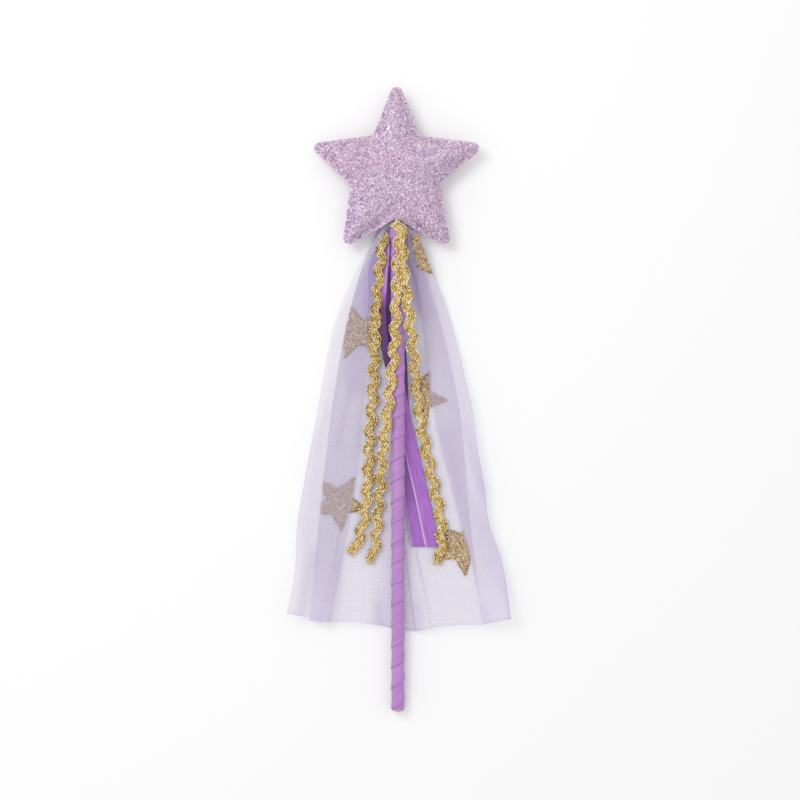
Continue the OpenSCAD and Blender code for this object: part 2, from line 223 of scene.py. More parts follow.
def length(name, text, value):
    """A length property in metres."""
    return bpy.props.FloatProperty(name=name, description=text, default=value, unit="LENGTH")


def colour(name, text, code):
    """A colour property."""
    return bpy.props.FloatVectorProperty(
        name=name, description=text, default=srgb(code), size=4, subtype="COLOR", min=0.0, max=1.0)


class WandSizes(bpy.types.PropertyGroup):
    """Sizes of the soft pieces."""
    star_point: length("Star point", "Radius to the sharp star points, before rounding", 0.0664)
    star_notch: length("Star notch", "Radius to the sharp notches of the star", 0.0322)
    tip_round: length("Point rounding", "Rounding radius of the star points", 0.0043)
    notch_round: length("Notch rounding", "Rounding radius of the star notches", 0.004)
    raw_edge: length("Raw edge", "Fabric left outside the star's seam", 0.0024)
    crown: length("Crown", "Height of the star's cushion on each side of the seam", 0.0095)
    arch: length("Neck arch", "Rise of the star's seam over the stick", 0.00465)
    flake: length("Glitter flake", "Radius of one glitter flake", 0.00052)
    stitch: length("Stitch", "Length of one stitch of the star's seam", 0.0022)
    motif: length("Glitter star", "Radius of the glitter stars on the organza", 0.0210)
    satin_width: length("Satin width", "Width of a satin tail", 0.010)
    braid_band: length("Braid band", "Width of the zigzag braid's band", 0.0062)
    braid_wave: length("Braid swing", "Swing of the braid's centre line", 0.0034)
    wrap_pitch: length("Wrap step", "Advance of the stick's ribbon in one turn", 0.0144)


class WandColours(bpy.types.PropertyGroup):
    """Colours of the finishes, as they are seen in plain light."""
    lilac: colour("Lilac glitter", "Main colour of the star's glitter fabric", "#CAADC9")
    violet: colour("Violet satin", "Colour of the satin ribbons in plain light", "#AC76C8")
    lavender: colour("Lavender organza", "Colour of the organza's threads", "#D2C8E0")
    gold: colour("Gold braid", "Lit colour of the metallic braid", "#EBCF82")
    champagne: colour("Gold glitter", "Main colour of the glitter stars", "#B99A73")
    thread: colour("Sewing thread", "Colour of the star's seam thread", "#CDB6DA")
    glue: colour("Hot-melt glue", "Colour of the cloudy glue", "#ECE6E2")
    beech: colour("Beech", "Colour of the bare dowel", "#D9BD92")


def feed(tree, node, feeds):
    """Sets or links inputs of a node, each by its name or number. A node links by its first output."""
    for key, value in feeds.items():
        socket = node.inputs[key]
        if isinstance(value, bpy.types.Node):
            value = next(out for out in value.outputs if out.enabled)
        if isinstance(value, bpy.types.NodeSocket):
            tree.links.new(value, socket)
        else:
            socket.default_value = value


def add(tree, kind, feeds=None, stops=None, **settings):
    """Adds a node, sets it up and joins its inputs."""
    node = tree.nodes.new(kind)
    for key, value in settings.items():
        setattr(node, key, value)
    if stops:
        elements = node.color_ramp.elements
        while len(elements) < len(stops):
            elements.new(1.0)
        for element, (place, shade) in zip(elements, stops):
            element.position = place
            element.color = shade
    feed(tree, node, feeds or {})
    return node


def finish_named(name):
    """Nodes of a new material, with its surface shader."""
    material = bpy.data.materials.new(name)
    material.use_nodes = True
    tree = material.node_tree
    tree.nodes.clear()
    shader = add(tree, "ShaderNodeBsdfPrincipled")
    add(tree, "ShaderNodeOutputMaterial", {"Surface": shader})
    return tree, shader


def tinted(shade, factor):
    """A colour made lighter or darker."""
    return [min(1.0, c * factor) for c in shade[:3]] + [1.0]


def mixed(shade, other, share):
    """A colour part of the way to another."""
    return [a + (b - a) * share for a, b in zip(shade, other)]


def drawn_out(tree, place, rate, detail):
    """Noise drawn out into streaks, by their count per unit of length on each axis."""
    drawn = add(tree, "ShaderNodeVectorMath", {0: place, 1: rate}, operation="MULTIPLY")
    return add(tree, "ShaderNodeTexNoise", {"Vector": drawn, "Scale": 1.0, "Detail": detail})


def glitter_finish(name, main, dark, light, warm, cool, cell, metal):
    """Glitter fabric: each flake keeps its own shade and tilt, so it glints on its own, and the
    mix of flakes drifts from warm to cool over the cloth in patches of about 26 mm."""
    dark, light, warm, cool = (srgb(code) for code in (dark, light, warm, cool))
    tree, shader = finish_named(name)
    place = add(tree, "ShaderNodeTexCoord").outputs["Object"]
    cells = add(tree, "ShaderNodeTexVoronoi", {"Vector": place, "Scale": 1 / (cell * MM)}).outputs["Color"]
    parts = add(tree, "ShaderNodeSeparateColor", {"Color": cells})
    own = add(tree, "ShaderNodeAttribute", attribute_name="sparkle").outputs["Fac"]
    either = add(tree, "ShaderNodeMath", {0: parts, 1: own}, operation="ADD")
    shade = add(tree, "ShaderNodeMath", {0: either}, operation="FRACT")
    # Flake shades differ at random; the top of the ramp, near white, is a painted glint
    ramp = add(tree, "ShaderNodeValToRGB", {"Fac": shade}, [
        (0.0, dark), (0.22, mixed(dark, main, 0.75)), (0.5, main), (0.78, mixed(main, light, 0.5)),
        (0.93, light), (1.0, mixed(light, WHITE, 0.7))])
    drift = add(tree, "ShaderNodeTexNoise", {"Vector": place, "Scale": 1 / (26 * MM), "Detail": 3.0})
    patch = add(tree, "ShaderNodeValToRGB", {"Fac": drift}, [(0.36, cool), (0.64, warm)])
    tint = add(tree, "ShaderNodeMix", {"Factor": 0.3, 6: ramp, 7: patch}, data_type="RGBA",
               blend_type="MULTIPLY")
    lean = add(tree, "ShaderNodeVectorMath", {0: cells, 1: (0.5, 0.5, 0.5)}, operation="SUBTRACT")
    spread = add(tree, "ShaderNodeVectorMath", {0: lean, "Scale": 0.75}, operation="SCALE")
    normal = add(tree, "ShaderNodeNewGeometry").outputs["Normal"]
    tilted = add(tree, "ShaderNodeVectorMath", {0: normal, 1: spread}, operation="ADD")
    unit = add(tree, "ShaderNodeVectorMath", {0: tilted}, operation="NORMALIZE")
    feed(tree, shader, {"Base Color": tint, "Normal": unit, "Roughness": 0.34, "Metallic": metal})


def satin_finish(name, violet):
    """Satin weave: long floats give streaks along the ribbon and a soft sheen across it. Real floats are
    too fine to show, so a streak is about 0.4 by 20 mm. "hollow" paints light and shade into the colour:
    deep violet as painted shade where a fold or the stick shades the ribbon, and below 0 pale as a
    painted highlight along a ridge or an edge."""
    tree, shader = finish_named(name)
    weave = add(tree, "ShaderNodeAttribute", attribute_name="weave").outputs["Vector"]
    streak = drawn_out(tree, weave, (2.6, 0.05, 1.0), 4.0)
    fall = drawn_out(tree, weave, (0.3, 0.06, 1.0), 2.0)
    both = add(tree, "ShaderNodeMath", {0: streak, 1: fall}, operation="ADD")
    half = add(tree, "ShaderNodeMath", {0: both, 1: 0.5}, operation="MULTIPLY")
    ramp = add(tree, "ShaderNodeValToRGB", {"Fac": half}, [
        (0.3, tinted(violet, 0.8)), (0.52, violet), (0.72, mixed(violet, WHITE, 0.14))])
    hollow = add(tree, "ShaderNodeAttribute", attribute_name="hollow").outputs["Fac"]
    # Painted shade: the colour goes to deep violet as "hollow" rises, where a fold or the stick shades the
    # ribbon
    deep = add(tree, "ShaderNodeMix", {"Factor": hollow, 6: ramp, 7: srgb("#4C1D5C")}, data_type="RGBA")
    # Painted highlight: where "hollow" is below 0 the colour goes pale, along a ridge or an edge
    crest_highlight = add(tree, "ShaderNodeMath", {0: hollow, 1: -1.0}, operation="MULTIPLY", use_clamp=True)
    sheen = add(tree, "ShaderNodeMix", {"Factor": crest_highlight, 6: deep, 7: srgb("#E2CCEF")}, data_type="RGBA")
    bump = add(tree, "ShaderNodeBump", {"Height": streak, "Strength": 0.25, "Distance": 0.05 * MM})
    feed(tree, shader, {"Base Color": sheen, "Normal": bump, "Roughness": 0.36, "Sheen Weight": 0.25,
                        "Sheen Roughness": 0.4, "Anisotropic": 0.5})


def organza_finish(name, lavender):
    """Organza: one layer lets most light through, and gathers and turned edges count as more layers, which
    "layers" gives. The threads are too fine to show, so they are drawn as streaks 2 to 3 mm wide."""
    tree, shader = finish_named(name)
    weave = add(tree, "ShaderNodeAttribute", attribute_name="weave").outputs["Vector"]
    layers = add(tree, "ShaderNodeAttribute", attribute_name="layers").outputs["Fac"]
    weft = drawn_out(tree, weave, (0.05, 0.5, 1.0), 3.0)
    warp = drawn_out(tree, weave, (0.35, 0.008, 1.0), 3.0)
    threads = add(tree, "ShaderNodeMath", {0: weft, 1: warp}, operation="ADD")
    vary = add(tree, "ShaderNodeMapRange", {"Value": threads, "From Min": 0.6, "From Max": 1.4,
                                            "To Min": 0.85, "To Max": 1.15})
    count = add(tree, "ShaderNodeMath", {0: layers, 1: vary}, operation="MULTIPLY")
    through = add(tree, "ShaderNodeMath", {0: 0.68, 1: count}, operation="POWER")
    cover = add(tree, "ShaderNodeMath", {0: 1.0, 1: through}, operation="SUBTRACT")
    depth = add(tree, "ShaderNodeMapRange", {"Value": layers, "From Min": 1.0, "From Max": 3.0})
    deep = mixed(lavender, srgb("#B49ADB"), 0.65)
    shade = add(tree, "ShaderNodeMix", {"Factor": depth, 6: lavender, 7: deep}, data_type="RGBA")
    bump = add(tree, "ShaderNodeBump", {"Height": threads, "Strength": 0.2, "Distance": 0.1 * MM})
    feed(tree, shader, {"Base Color": shade, "Alpha": cover, "Normal": bump, "Roughness": 0.45,
                        "Sheen Weight": 0.3, "Sheen Roughness": 0.3})


def braid_finish(name, gold):
    """Metallic braid: short bright floats of flat foil yarn, each a little different, with painted glints:
    specks of 0.75 mm in the colour, some darkened, some left bright."""
    tree, shader = finish_named(name)
    own = add(tree, "ShaderNodeAttribute", attribute_name="strand").outputs["Fac"]
    # Floats differ at random; the near-white top of the ramp is partly a painted glint
    ramp = add(tree, "ShaderNodeValToRGB", {"Fac": own}, [
        (0.0, srgb("#94722C")), (0.22, tinted(gold, 0.68)), (0.48, gold), (0.8, mixed(gold, WHITE, 0.32)),
        (1.0, mixed(gold, WHITE, 0.66))])
    place = add(tree, "ShaderNodeTexCoord").outputs["Object"]
    specks = add(tree, "ShaderNodeTexVoronoi", {"Vector": place, "Scale": 1 / (0.75 * MM)}).outputs["Color"]
    glint = add(tree, "ShaderNodeSeparateColor", {"Color": specks})
    spark = add(tree, "ShaderNodeValToRGB", {"Fac": glint}, [
        (0.0, srgb("#A98A58")), (0.3, srgb("#EADCBC")), (0.7, WHITE)])
    foil = add(tree, "ShaderNodeMix", {"Factor": 0.85, 6: ramp, 7: spark}, data_type="RGBA",
               blend_type="MULTIPLY")
    fibre = add(tree, "ShaderNodeTexNoise", {"Vector": place, "Scale": 1 / (0.3 * MM), "Detail": 2.0})
    bump = add(tree, "ShaderNodeBump", {"Height": fibre, "Strength": 0.35, "Distance": 0.08 * MM})
    feed(tree, shader, {"Base Color": foil, "Normal": bump, "Metallic": 0.35, "Roughness": 0.4})


def thread_finish(name, shade):
    """Sewing thread: two plies twisted together give fine slanting bands, about 0.3 mm apart."""
    tree, shader = finish_named(name)
    place = add(tree, "ShaderNodeTexCoord").outputs["Object"]
    ply = add(tree, "ShaderNodeTexWave", {"Vector": place, "Scale": 1 / (0.9 * MM), "Distortion": 2.0},
              bands_direction="DIAGONAL").outputs["Fac"]
    ramp = add(tree, "ShaderNodeValToRGB", {"Fac": ply}, [(0.0, tinted(shade, 0.75)), (0.7, shade)])
    bump = add(tree, "ShaderNodeBump", {"Height": ply, "Strength": 0.3, "Distance": 0.05 * MM})
    feed(tree, shader, {"Base Color": ramp, "Normal": bump, "Roughness": 0.6})


def glue_finish(name, shade):
    """Hot-melt glue: cloudy and smooth, with faint flow marks of 1.6 mm."""
    tree, shader = finish_named(name)
    place = add(tree, "ShaderNodeTexCoord").outputs["Object"]
    cloud = add(tree, "ShaderNodeTexNoise", {"Vector": place, "Scale": 1 / (1.6 * MM), "Detail": 2.0})
    ramp = add(tree, "ShaderNodeValToRGB", {"Fac": cloud}, [(0.3, tinted(shade, 0.88)), (0.7, shade)])
    bump = add(tree, "ShaderNodeBump", {"Height": cloud, "Strength": 0.2, "Distance": 0.2 * MM})
    feed(tree, shader, {"Base Color": ramp, "Normal": bump, "Roughness": 0.3, "Subsurface Weight": 0.3,
                        "Subsurface Scale": 2 * MM})


def beech_finish(name, shade):
    """Beech dowel: straight grain along the stick with short dark flecks, about 0.7 by 17 mm."""
    tree, shader = finish_named(name)
    place = add(tree, "ShaderNodeTexCoord").outputs["Object"]
    grain = drawn_out(tree, place, (1400.0, 60.0, 1400.0), 4.0)
    ramp = add(tree, "ShaderNodeValToRGB", {"Fac": grain}, [
        (0.3, tinted(shade, 0.72)), (0.5, shade), (0.75, tinted(shade, 1.1))])
    bump = add(tree, "ShaderNodeBump", {"Height": grain, "Strength": 0.2, "Distance": 0.1 * MM})
    feed(tree, shader, {"Base Color": ramp, "Normal": bump, "Roughness": 0.6})


def finishes(context):
    """All finishes of the wand, made once and found again by name."""
    look = context.scene.wand_colours
    if "glitter cloth in lilac" not in bpy.data.materials:
        glitter_finish("glitter cloth in lilac", look.lilac, dark="#866999", light="#FFF0FA",
                       warm="#FFE2EC", cool="#E6E0F4", cell=1.2, metal=0.05)
        glitter_finish("glitter print in gold", look.champagne, dark="#523C22", light="#FFECC4",
                       warm="#FFF0DE", cool="#F0E4E2", cell=1.0, metal=0.15)
        satin_finish("satin weave in violet", mixed(look.violet, srgb("#A85AC4"), 0.45))
        # A lighter copy of the satin for the wound ribbon and the neck binding: painted light, as the stick
        # is more lit than the tails
        satin_finish("stretched satin in violet", mixed(look.violet, srgb("#D8A6CC"), 0.26))
        organza_finish("sheer organza in lavender", look.lavender)
        braid_finish("plaited metallic yarn in gold", look.gold)
        thread_finish("twisted thread in lilac", look.thread)
        thread_finish("raw cloth edge in lilac", mixed(look.thread, WHITE, 0.4))
        glue_finish("cloudy hot-melt glue", look.glue)
        beech_finish("sanded beech", look.beech)
    return bpy.data.materials


def ease(t):
    """Smooth step from 0 to 1."""
    t = np.clip(t, 0.0, 1.0)
    return t * t * (3 - 2 * t)


def rising(t, start, stop):
    """Smooth step from 0 at a start to 1 at a stop, which may lie before it."""
    return ease((t - start) / (stop - start))


def fading(t, start, run):
    """Straight line from 1 at a start to 0 after a run."""
    return np.clip(1 - (t - start) / run, 0, 1)


def hump(t, middle, width):
    """Round hump of height 1."""
    return np.exp(-((t - middle) / width) ** 2)


def along_route(points, d):
    """Smooth curve through a route's points, at distances below the notch."""
    places = np.array(points, float)
    d = np.clip(np.asarray(d, float), places[0, 0], places[-1, 0])
    slope = np.gradient(places[:, 1], places[:, 0])
    i = np.clip(np.searchsorted(places[:, 0], d, side="right") - 1, 0, len(places) - 2)
    w = places[i + 1, 0] - places[i, 0]
    t = (d - places[i, 0]) / w
    line = places[i, 1] + (places[i + 1, 1] - places[i, 1]) * ease(t)
    return line + w * t * (1 - t) ** 2 * slope[i] - w * t * t * (1 - t) * slope[i + 1]


def placed(x, d, z):
    """Points on the table from places across, distances below the notch and heights."""
    x, d, z = np.broadcast_arrays(x, d, z)
    return np.stack([x, NECK_Y - d, z], axis=-1)


def axis_z(d):
    """Height of the stick's axis."""
    return SEAM_Z - d * STICK_SLOPE


def neck_rise(d):
    """Rise of the back layers towards the neck."""
    return ROOT_RISE * fading(d, 0, NECK_FALL) ** 2


def folds(x, d):
    """Soft folds that fan out from above the notch and lie flat under the stiff glitter stars."""
    angle = np.degrees(np.arctan2(x, d + FAN_ABOVE))
    side = np.maximum(-angle - FIRST_FOLD_LEFT, angle - FIRST_FOLD_RIGHT)
    wave = np.where(side > 0, 0.5 - 0.5 * np.cos(2 * np.pi * side / FOLD_STEP), 0.0)
    flat = np.ones_like(angle)
    for _, cx, cd, _ in BACK_MOTIFS:
        flat = np.minimum(flat, rising(np.hypot(x - cx, d - cd), 30, 46))
    return FOLD_HEIGHT * flat * rising(d, 60, 285) * wave


def back_height(x, d):
    """Height of the back strip."""
    return BACK_Z + folds(x, d) + neck_rise(d)


def wing_height(x, d):
    """Height of a front strip, which comes down from the star's seam."""
    free = WING_Z + folds(x, d) + (SEAM_Z - WING_Z) * fading(d, WING_ROOT, WING_FALL) ** 2
    bound = axis_z(d) + np.sqrt(np.clip(TAPE_R ** 2 - x ** 2, 0, None)) + WING_OVER_TAPE
    return np.where(np.abs(x) < TAPE_R, np.maximum(free, bound), free)


def mesh_object(name, points, faces, edges=(), material=None):
    """A new smooth object from points in millimetres."""
    mesh = bpy.data.meshes.new(name)
    mesh.from_pydata((np.asarray(points, float).reshape(-1, 3) * MM).tolist(), edges, faces)
    mesh.polygons.foreach_set("use_smooth", [True] * len(mesh.polygons))
    if material:
        mesh.materials.append(material)
    obj = bpy.data.objects.new(name, mesh)
    bpy.context.scene.collection.objects.link(obj)
    return obj


def marked(obj, name, values):
    """Gives each point of a mesh a value that its finish reads."""
    obj.data.attributes.new(name, "FLOAT", "POINT").data.foreach_set("value", np.ravel(values))


def woven(name, grid, material):
    """A strip of cloth over a grid of points, with its weave measured in millimetres."""
    rows, columns = grid.shape[:2]
    faces = [
        (r * columns + c, (r + 1) * columns + c, (r + 1) * columns + c + 1, r * columns + c + 1)
        for r in range(rows - 1) for c in range(columns - 1)
    ]
    obj = mesh_object(name, grid, faces, material=material)
    steps = np.linalg.norm(np.diff(grid, axis=1), axis=2)
    across = np.concatenate([np.zeros((rows, 1)), np.cumsum(steps, axis=1)], axis=1)
    runs = np.linalg.norm(np.diff(grid, axis=0), axis=2)
    along = np.concatenate([np.zeros((1, columns)), np.cumsum(runs, axis=0)], axis=0)
    weave = np.stack([across, along], axis=-1).reshape(-1, 2)
    corner = np.zeros(len(obj.data.loops), int)
    obj.data.loops.foreach_get("vertex_index", corner)
    obj.data.uv_layers.new(name="weave").data.foreach_set("uv", weave[corner].ravel())
    return obj


def settled(obj):
    """Turns an object's modifiers into a plain mesh."""
    graph = bpy.context.evaluated_depsgraph_get()
    shown = obj.evaluated_get(graph)
    mesh = bpy.data.meshes.new_from_object(shown, preserve_all_data_layers=True, depsgraph=graph)
    obj.modifiers.clear()
    obj.data = mesh
    mesh.polygons.foreach_set("use_smooth", [True] * len(mesh.polygons))
    return obj


def thickened(obj, thickness, offset=0.0):
    """Gives a sheet its thickness."""
    shell = obj.modifiers.new("thickness", "SOLIDIFY")
    shell.thickness = thickness * MM
    shell.offset = offset
    return settled(obj)


def grown(obj, tree, **values):
    """Runs a node tree on an object with named inputs and keeps the plain mesh."""
    modifier = obj.modifiers.new(tree.name, "NODES")
    modifier.node_group = tree
    for item in tree.interface.items_tree:
        if item.in_out == "INPUT" and item.name in values:
            modifier[item.identifier] = values[item.name]
    return settled(obj)


def new_tree(name, **inputs):
    """A node tree for pieces, with its named inputs and its material."""
    tree = bpy.data.node_groups.new(name, "GeometryNodeTree")
    tree.interface.new_socket("Geometry", in_out="OUTPUT", socket_type="NodeSocketGeometry")
    for label, kind in {"Geometry": "Geometry", **inputs, "Material": "Material"}.items():
        tree.interface.new_socket(label, in_out="INPUT", socket_type="NodeSocket" + kind)
    return tree, add(tree, "NodeGroupInput").outputs


def end_tree(tree, given, *parts):
    """Ends a tree: its parts joined into plain geometry in their material."""
    joined = add(tree, "GeometryNodeJoinGeometry")
    for part in parts:
        feed(tree, joined, {"Geometry": part})
    real = add(tree, "GeometryNodeRealizeInstances", {"Geometry": joined})
    dressed = add(tree, "GeometryNodeSetMaterial", {"Geometry": real, "Material": given["Material"]})
    add(tree, "NodeGroupOutput", {"Geometry": dressed})
    return tree


def strung(tree, given, bead, rings):
    """A line as a curve, points at even steps along it, the way each faces, and a round bead for them."""
    line = add(tree, "GeometryNodeMeshToCurve", {"Mesh": given["Geometry"]})
    curve = add(tree, "GeometryNodeSetCurveNormal", {"Curve": line}, mode="Z_UP")
    steps = {"Curve": curve, "Length": given["Spacing"]}
    points = add(tree, "GeometryNodeCurveToPoints", steps, mode="LENGTH")
    axes = {"Primary Axis": points.outputs["Tangent"], "Secondary Axis": points.outputs["Normal"]}
    facing = add(tree, "FunctionNodeAxesToRotation", axes, primary_axis="X", secondary_axis="Y")
    ball = add(tree, "GeometryNodeMeshUVSphere", {"Segments": 8, "Rings": rings, "Radius": 0.5})
    shaped = add(tree, "GeometryNodeTransform", {"Geometry": ball, "Scale": bead})
    return curve, points, facing, shaped


def zigzag_tree(name):
    """Zigzag braid along a line: a flat core under rows of floats that slant to and fro like a plait."""
    tree, given = new_tree(name, Spacing="Float", Band="Float", Core="Float", Strand="Vector", Slant="Float",
                           Seed="Int")
    curve, points, facing, strand = strung(tree, given, given["Strand"], 5)
    rows = []
    for k, share in enumerate(FLOAT_ROWS):
        way = 1.0 if k % 2 else -1.0
        seed = add(tree, "ShaderNodeMath", {0: given["Seed"], 1: float(k)}, operation="ADD")
        size = add(tree, "FunctionNodeRandomValue", {0: (0.85, 0.9, 0.8), 1: (1.15, 1.15, 1.2), "Seed": seed},
                   data_type="FLOAT_VECTOR")
        row = add(tree, "GeometryNodeInstanceOnPoints",
                  {"Points": points, "Instance": strand, "Rotation": facing, "Scale": size})
        step = add(tree, "ShaderNodeMath", {0: given["Band"], 1: share}, operation="MULTIPLY")
        stagger = add(tree, "ShaderNodeMath", {0: given["Spacing"], 1: 0.25 * way}, operation="MULTIPLY")
        move = add(tree, "ShaderNodeCombineXYZ", {"X": stagger, "Y": step})
        moved = add(tree, "GeometryNodeTranslateInstances", {"Instances": row, "Translation": move})
        lean = add(tree, "ShaderNodeMath", {0: given["Slant"], 1: way}, operation="MULTIPLY")
        stray = add(tree, "FunctionNodeRandomValue", {2: -0.28, 3: 0.28, "Seed": seed}, data_type="FLOAT")
        askew = add(tree, "ShaderNodeMath", {0: lean, 1: stray}, operation="ADD")
        turn = add(tree, "ShaderNodeCombineXYZ", {"Z": askew})
        turned = add(tree, "GeometryNodeRotateInstances", {"Instances": moved, "Rotation": turn})
        shade = add(tree, "FunctionNodeRandomValue", {2: 0.1, 3: 1.0, "Seed": seed}, data_type="FLOAT")
        rows.append(add(tree, "GeometryNodeStoreNamedAttribute",
                        {"Geometry": turned, "Name": "strand", "Value": shade},
                        data_type="FLOAT", domain="INSTANCE"))
    narrow = add(tree, "ShaderNodeMath", {0: given["Band"], 1: 0.86}, operation="MULTIPLY")
    profile = add(tree, "GeometryNodeCurvePrimitiveQuadrilateral", {"Width": narrow, "Height": given["Core"]})
    core = add(tree, "GeometryNodeCurveToMesh", {"Curve": curve, "Profile Curve": profile, "Fill Caps": True})
    return end_tree(tree, given, *rows, core)


def flake_tree(name, keep_base):
    """Glitter flakes strewn over a surface, each with its own tilt, size and shade."""
    tree, given = new_tree(name, Density="Float", Flake="Float", Tilt="Float", Lift="Float", Seed="Int")
    strewn = add(tree, "GeometryNodeDistributePointsOnFaces",
                 {"Mesh": given["Geometry"], "Density": given["Density"], "Seed": given["Seed"]})
    flake = add(tree, "GeometryNodeMeshCircle", {"Vertices": 6, "Radius": given["Flake"]}, fill_type="NGON")
    size = add(tree, "FunctionNodeRandomValue", {2: 0.65, 3: 1.25, "Seed": 3}, data_type="FLOAT")
    laid = add(tree, "GeometryNodeInstanceOnPoints",
               {"Points": strewn, "Instance": flake, "Rotation": strewn.outputs["Rotation"], "Scale": size})
    lift = add(tree, "ShaderNodeCombineXYZ", {"Z": given["Lift"]})
    raised = add(tree, "GeometryNodeTranslateInstances", {"Instances": laid, "Translation": lift})
    back = add(tree, "ShaderNodeMath", {0: given["Tilt"], 1: -1.0}, operation="MULTIPLY")
    least = add(tree, "ShaderNodeCombineXYZ", {"X": back, "Y": back})
    most = add(tree, "ShaderNodeCombineXYZ", {"X": given["Tilt"], "Y": given["Tilt"], "Z": 2 * math.pi})
    lean = add(tree, "FunctionNodeRandomValue", {0: least, 1: most, "Seed": 5}, data_type="FLOAT_VECTOR")
    turned = add(tree, "GeometryNodeRotateInstances", {"Instances": raised, "Rotation": lean})
    shade = add(tree, "FunctionNodeRandomValue", {2: 0.05, 3: 1.0, "Seed": 7}, data_type="FLOAT")
    flakes = add(tree, "GeometryNodeStoreNamedAttribute",
                 {"Geometry": turned, "Name": "sparkle", "Value": shade},
                 data_type="FLOAT", domain="INSTANCE")
    base = [given["Geometry"]] if keep_base else []
    return end_tree(tree, given, flakes, *base)


def stitch_tree(name):
    """Short raised stitches along a seam line."""
    tree, given = new_tree(name, Spacing="Float", Stitch="Vector")
    _, points, facing, stitch = strung(tree, given, given["Stitch"], 6)
    sewn = add(tree, "GeometryNodeInstanceOnPoints",
               {"Points": points, "Instance": stitch, "Rotation": facing})
    return end_tree(tree, given, sewn)


def wrap_tree(name):
    """Ribbon wound round a stick: each turn's lower edge laps over the turn below."""
    tree, given = new_tree(
        name, Length="Float", Radius="Float", Pitch="Float", Band="Float", Rise="Float", Turns="Float",
        Start="Float", Steps="Int", Place="Vector", Tilt="Vector")
    grid = add(tree, "GeometryNodeMeshGrid",
               {"Size X": 1.0, "Size Y": 1.0, "Vertices X": 15, "Vertices Y": given["Steps"]})
    spot = add(tree, "ShaderNodeSeparateXYZ", {"Vector": add(tree, "GeometryNodeInputPosition")}).outputs
    u = add(tree, "ShaderNodeMath", {0: spot["X"], 1: 0.5}, operation="ADD")
    v = add(tree, "ShaderNodeMath", {0: spot["Y"], 1: 0.5}, operation="ADD")
    turn = add(tree, "ShaderNodeMath", {0: v, 1: given["Turns"]}, operation="MULTIPLY")
    begun = add(tree, "ShaderNodeMath", {0: turn, 1: given["Start"]}, operation="ADD")
    angle = add(tree, "ShaderNodeMath", {0: begun, 1: 2 * math.pi}, operation="MULTIPLY")
    past = add(tree, "ShaderNodeMath", {0: turn, 1: 1.0}, operation="SUBTRACT")
    first = add(tree, "ShaderNodeMath", {0: past, 1: given["Pitch"]}, operation="MULTIPLY")
    width = add(tree, "ShaderNodeMath", {0: u, 1: given["Band"]}, operation="MULTIPLY")
    free = add(tree, "ShaderNodeMath", {0: first, 1: width}, operation="ADD")
    high = add(tree, "ShaderNodeMath", {0: free, 1: given["Length"]}, operation="MINIMUM")
    along = add(tree, "ShaderNodeMath", {0: high, 1: 0.0}, operation="MAXIMUM")
    lap = add(tree, "ShaderNodeMapRange",
              {"Value": u, "From Min": 0.1, "From Max": 0.42, "To Min": 1.0, "To Max": 0.0},
              interpolation_type="SMOOTHSTEP")
    rise = add(tree, "ShaderNodeMath", {0: lap, 1: given["Rise"]}, operation="MULTIPLY")
    where = add(tree, "ShaderNodeCombineXYZ", {"X": angle, "Y": along, "Z": u})
    rough = drawn_out(tree, where, (1.3, 150.0, 3.0), 1.0)
    uneven = add(tree, "ShaderNodeMapRange", {"Value": rough, "To Min": -0.1 * MM, "To Max": 0.1 * MM})
    tuck = add(tree, "ShaderNodeMapRange",
               {"Value": along, "From Max": 1.8 * MM, "To Min": -1.3 * MM, "To Max": 0.0},
               interpolation_type="SMOOTHERSTEP")
    lifted = add(tree, "ShaderNodeMath", {0: given["Radius"], 1: rise}, operation="ADD")
    wavy = add(tree, "ShaderNodeMath", {0: lifted, 1: uneven}, operation="ADD")
    radius = add(tree, "ShaderNodeMath", {0: wavy, 1: tuck}, operation="ADD")
    cosine = add(tree, "ShaderNodeMath", {0: angle}, operation="COSINE")
    sine = add(tree, "ShaderNodeMath", {0: angle}, operation="SINE")
    x = add(tree, "ShaderNodeMath", {0: radius, 1: cosine}, operation="MULTIPLY")
    y = add(tree, "ShaderNodeMath", {0: radius, 1: sine}, operation="MULTIPLY")
    shell = add(tree, "ShaderNodeCombineXYZ", {"X": x, "Y": y, "Z": along})
    around = add(tree, "ShaderNodeMath", {0: angle, 1: given["Radius"]}, operation="MULTIPLY")
    flat = add(tree, "ShaderNodeCombineXYZ", {"X": width, "Y": around})
    weave = add(tree, "ShaderNodeVectorMath", {0: flat, "Scale": 1 / MM}, operation="SCALE")
    cloth = add(tree, "GeometryNodeStoreNamedAttribute", {"Geometry": grid, "Name": "weave", "Value": weave},
                data_type="FLOAT2", domain="CORNER")
    wound = add(tree, "GeometryNodeSetPosition", {"Geometry": cloth, "Position": shell})
    seated = add(tree, "GeometryNodeTransform",
                 {"Geometry": wound, "Translation": given["Place"], "Rotation": given["Tilt"]})
    return end_tree(tree, given, seated)


def tree_named(name, maker, *values):
    """A node tree, made the first time that it is asked for."""
    return bpy.data.node_groups.get(name) or maker(name, *values)


class WAND_OT_camera(bpy.types.Operator):
    """Camera straight above the wand, as in the photograph"""
    bl_idname = "wand.camera"
    bl_label = "Camera"

    def execute(self, context):
        data = bpy.data.cameras.new("camera")
        data.lens = 90
        data.sensor_width = 36
        camera = bpy.data.objects.new("camera", data)
        camera.location = (1.4 * MM, 0.0, 1.408)
        context.scene.collection.objects.link(camera)
        context.scene.camera = camera
        return {"FINISHED"}


def left_braid_z(d):
    """Height of the left braid: its root tucked in at the seam, then down to the layers below."""
    first = BRAID_LEFT[0][0]
    over_seam = 0.4
    fall = fading(d, first, 70) ** 2
    tucked = 1.9 * fading(d, first, 12)
    return BRAID_Z + neck_rise(d) + (SEAM_Z + over_seam - BRAID_Z - neck_rise(first)) * fall - tucked


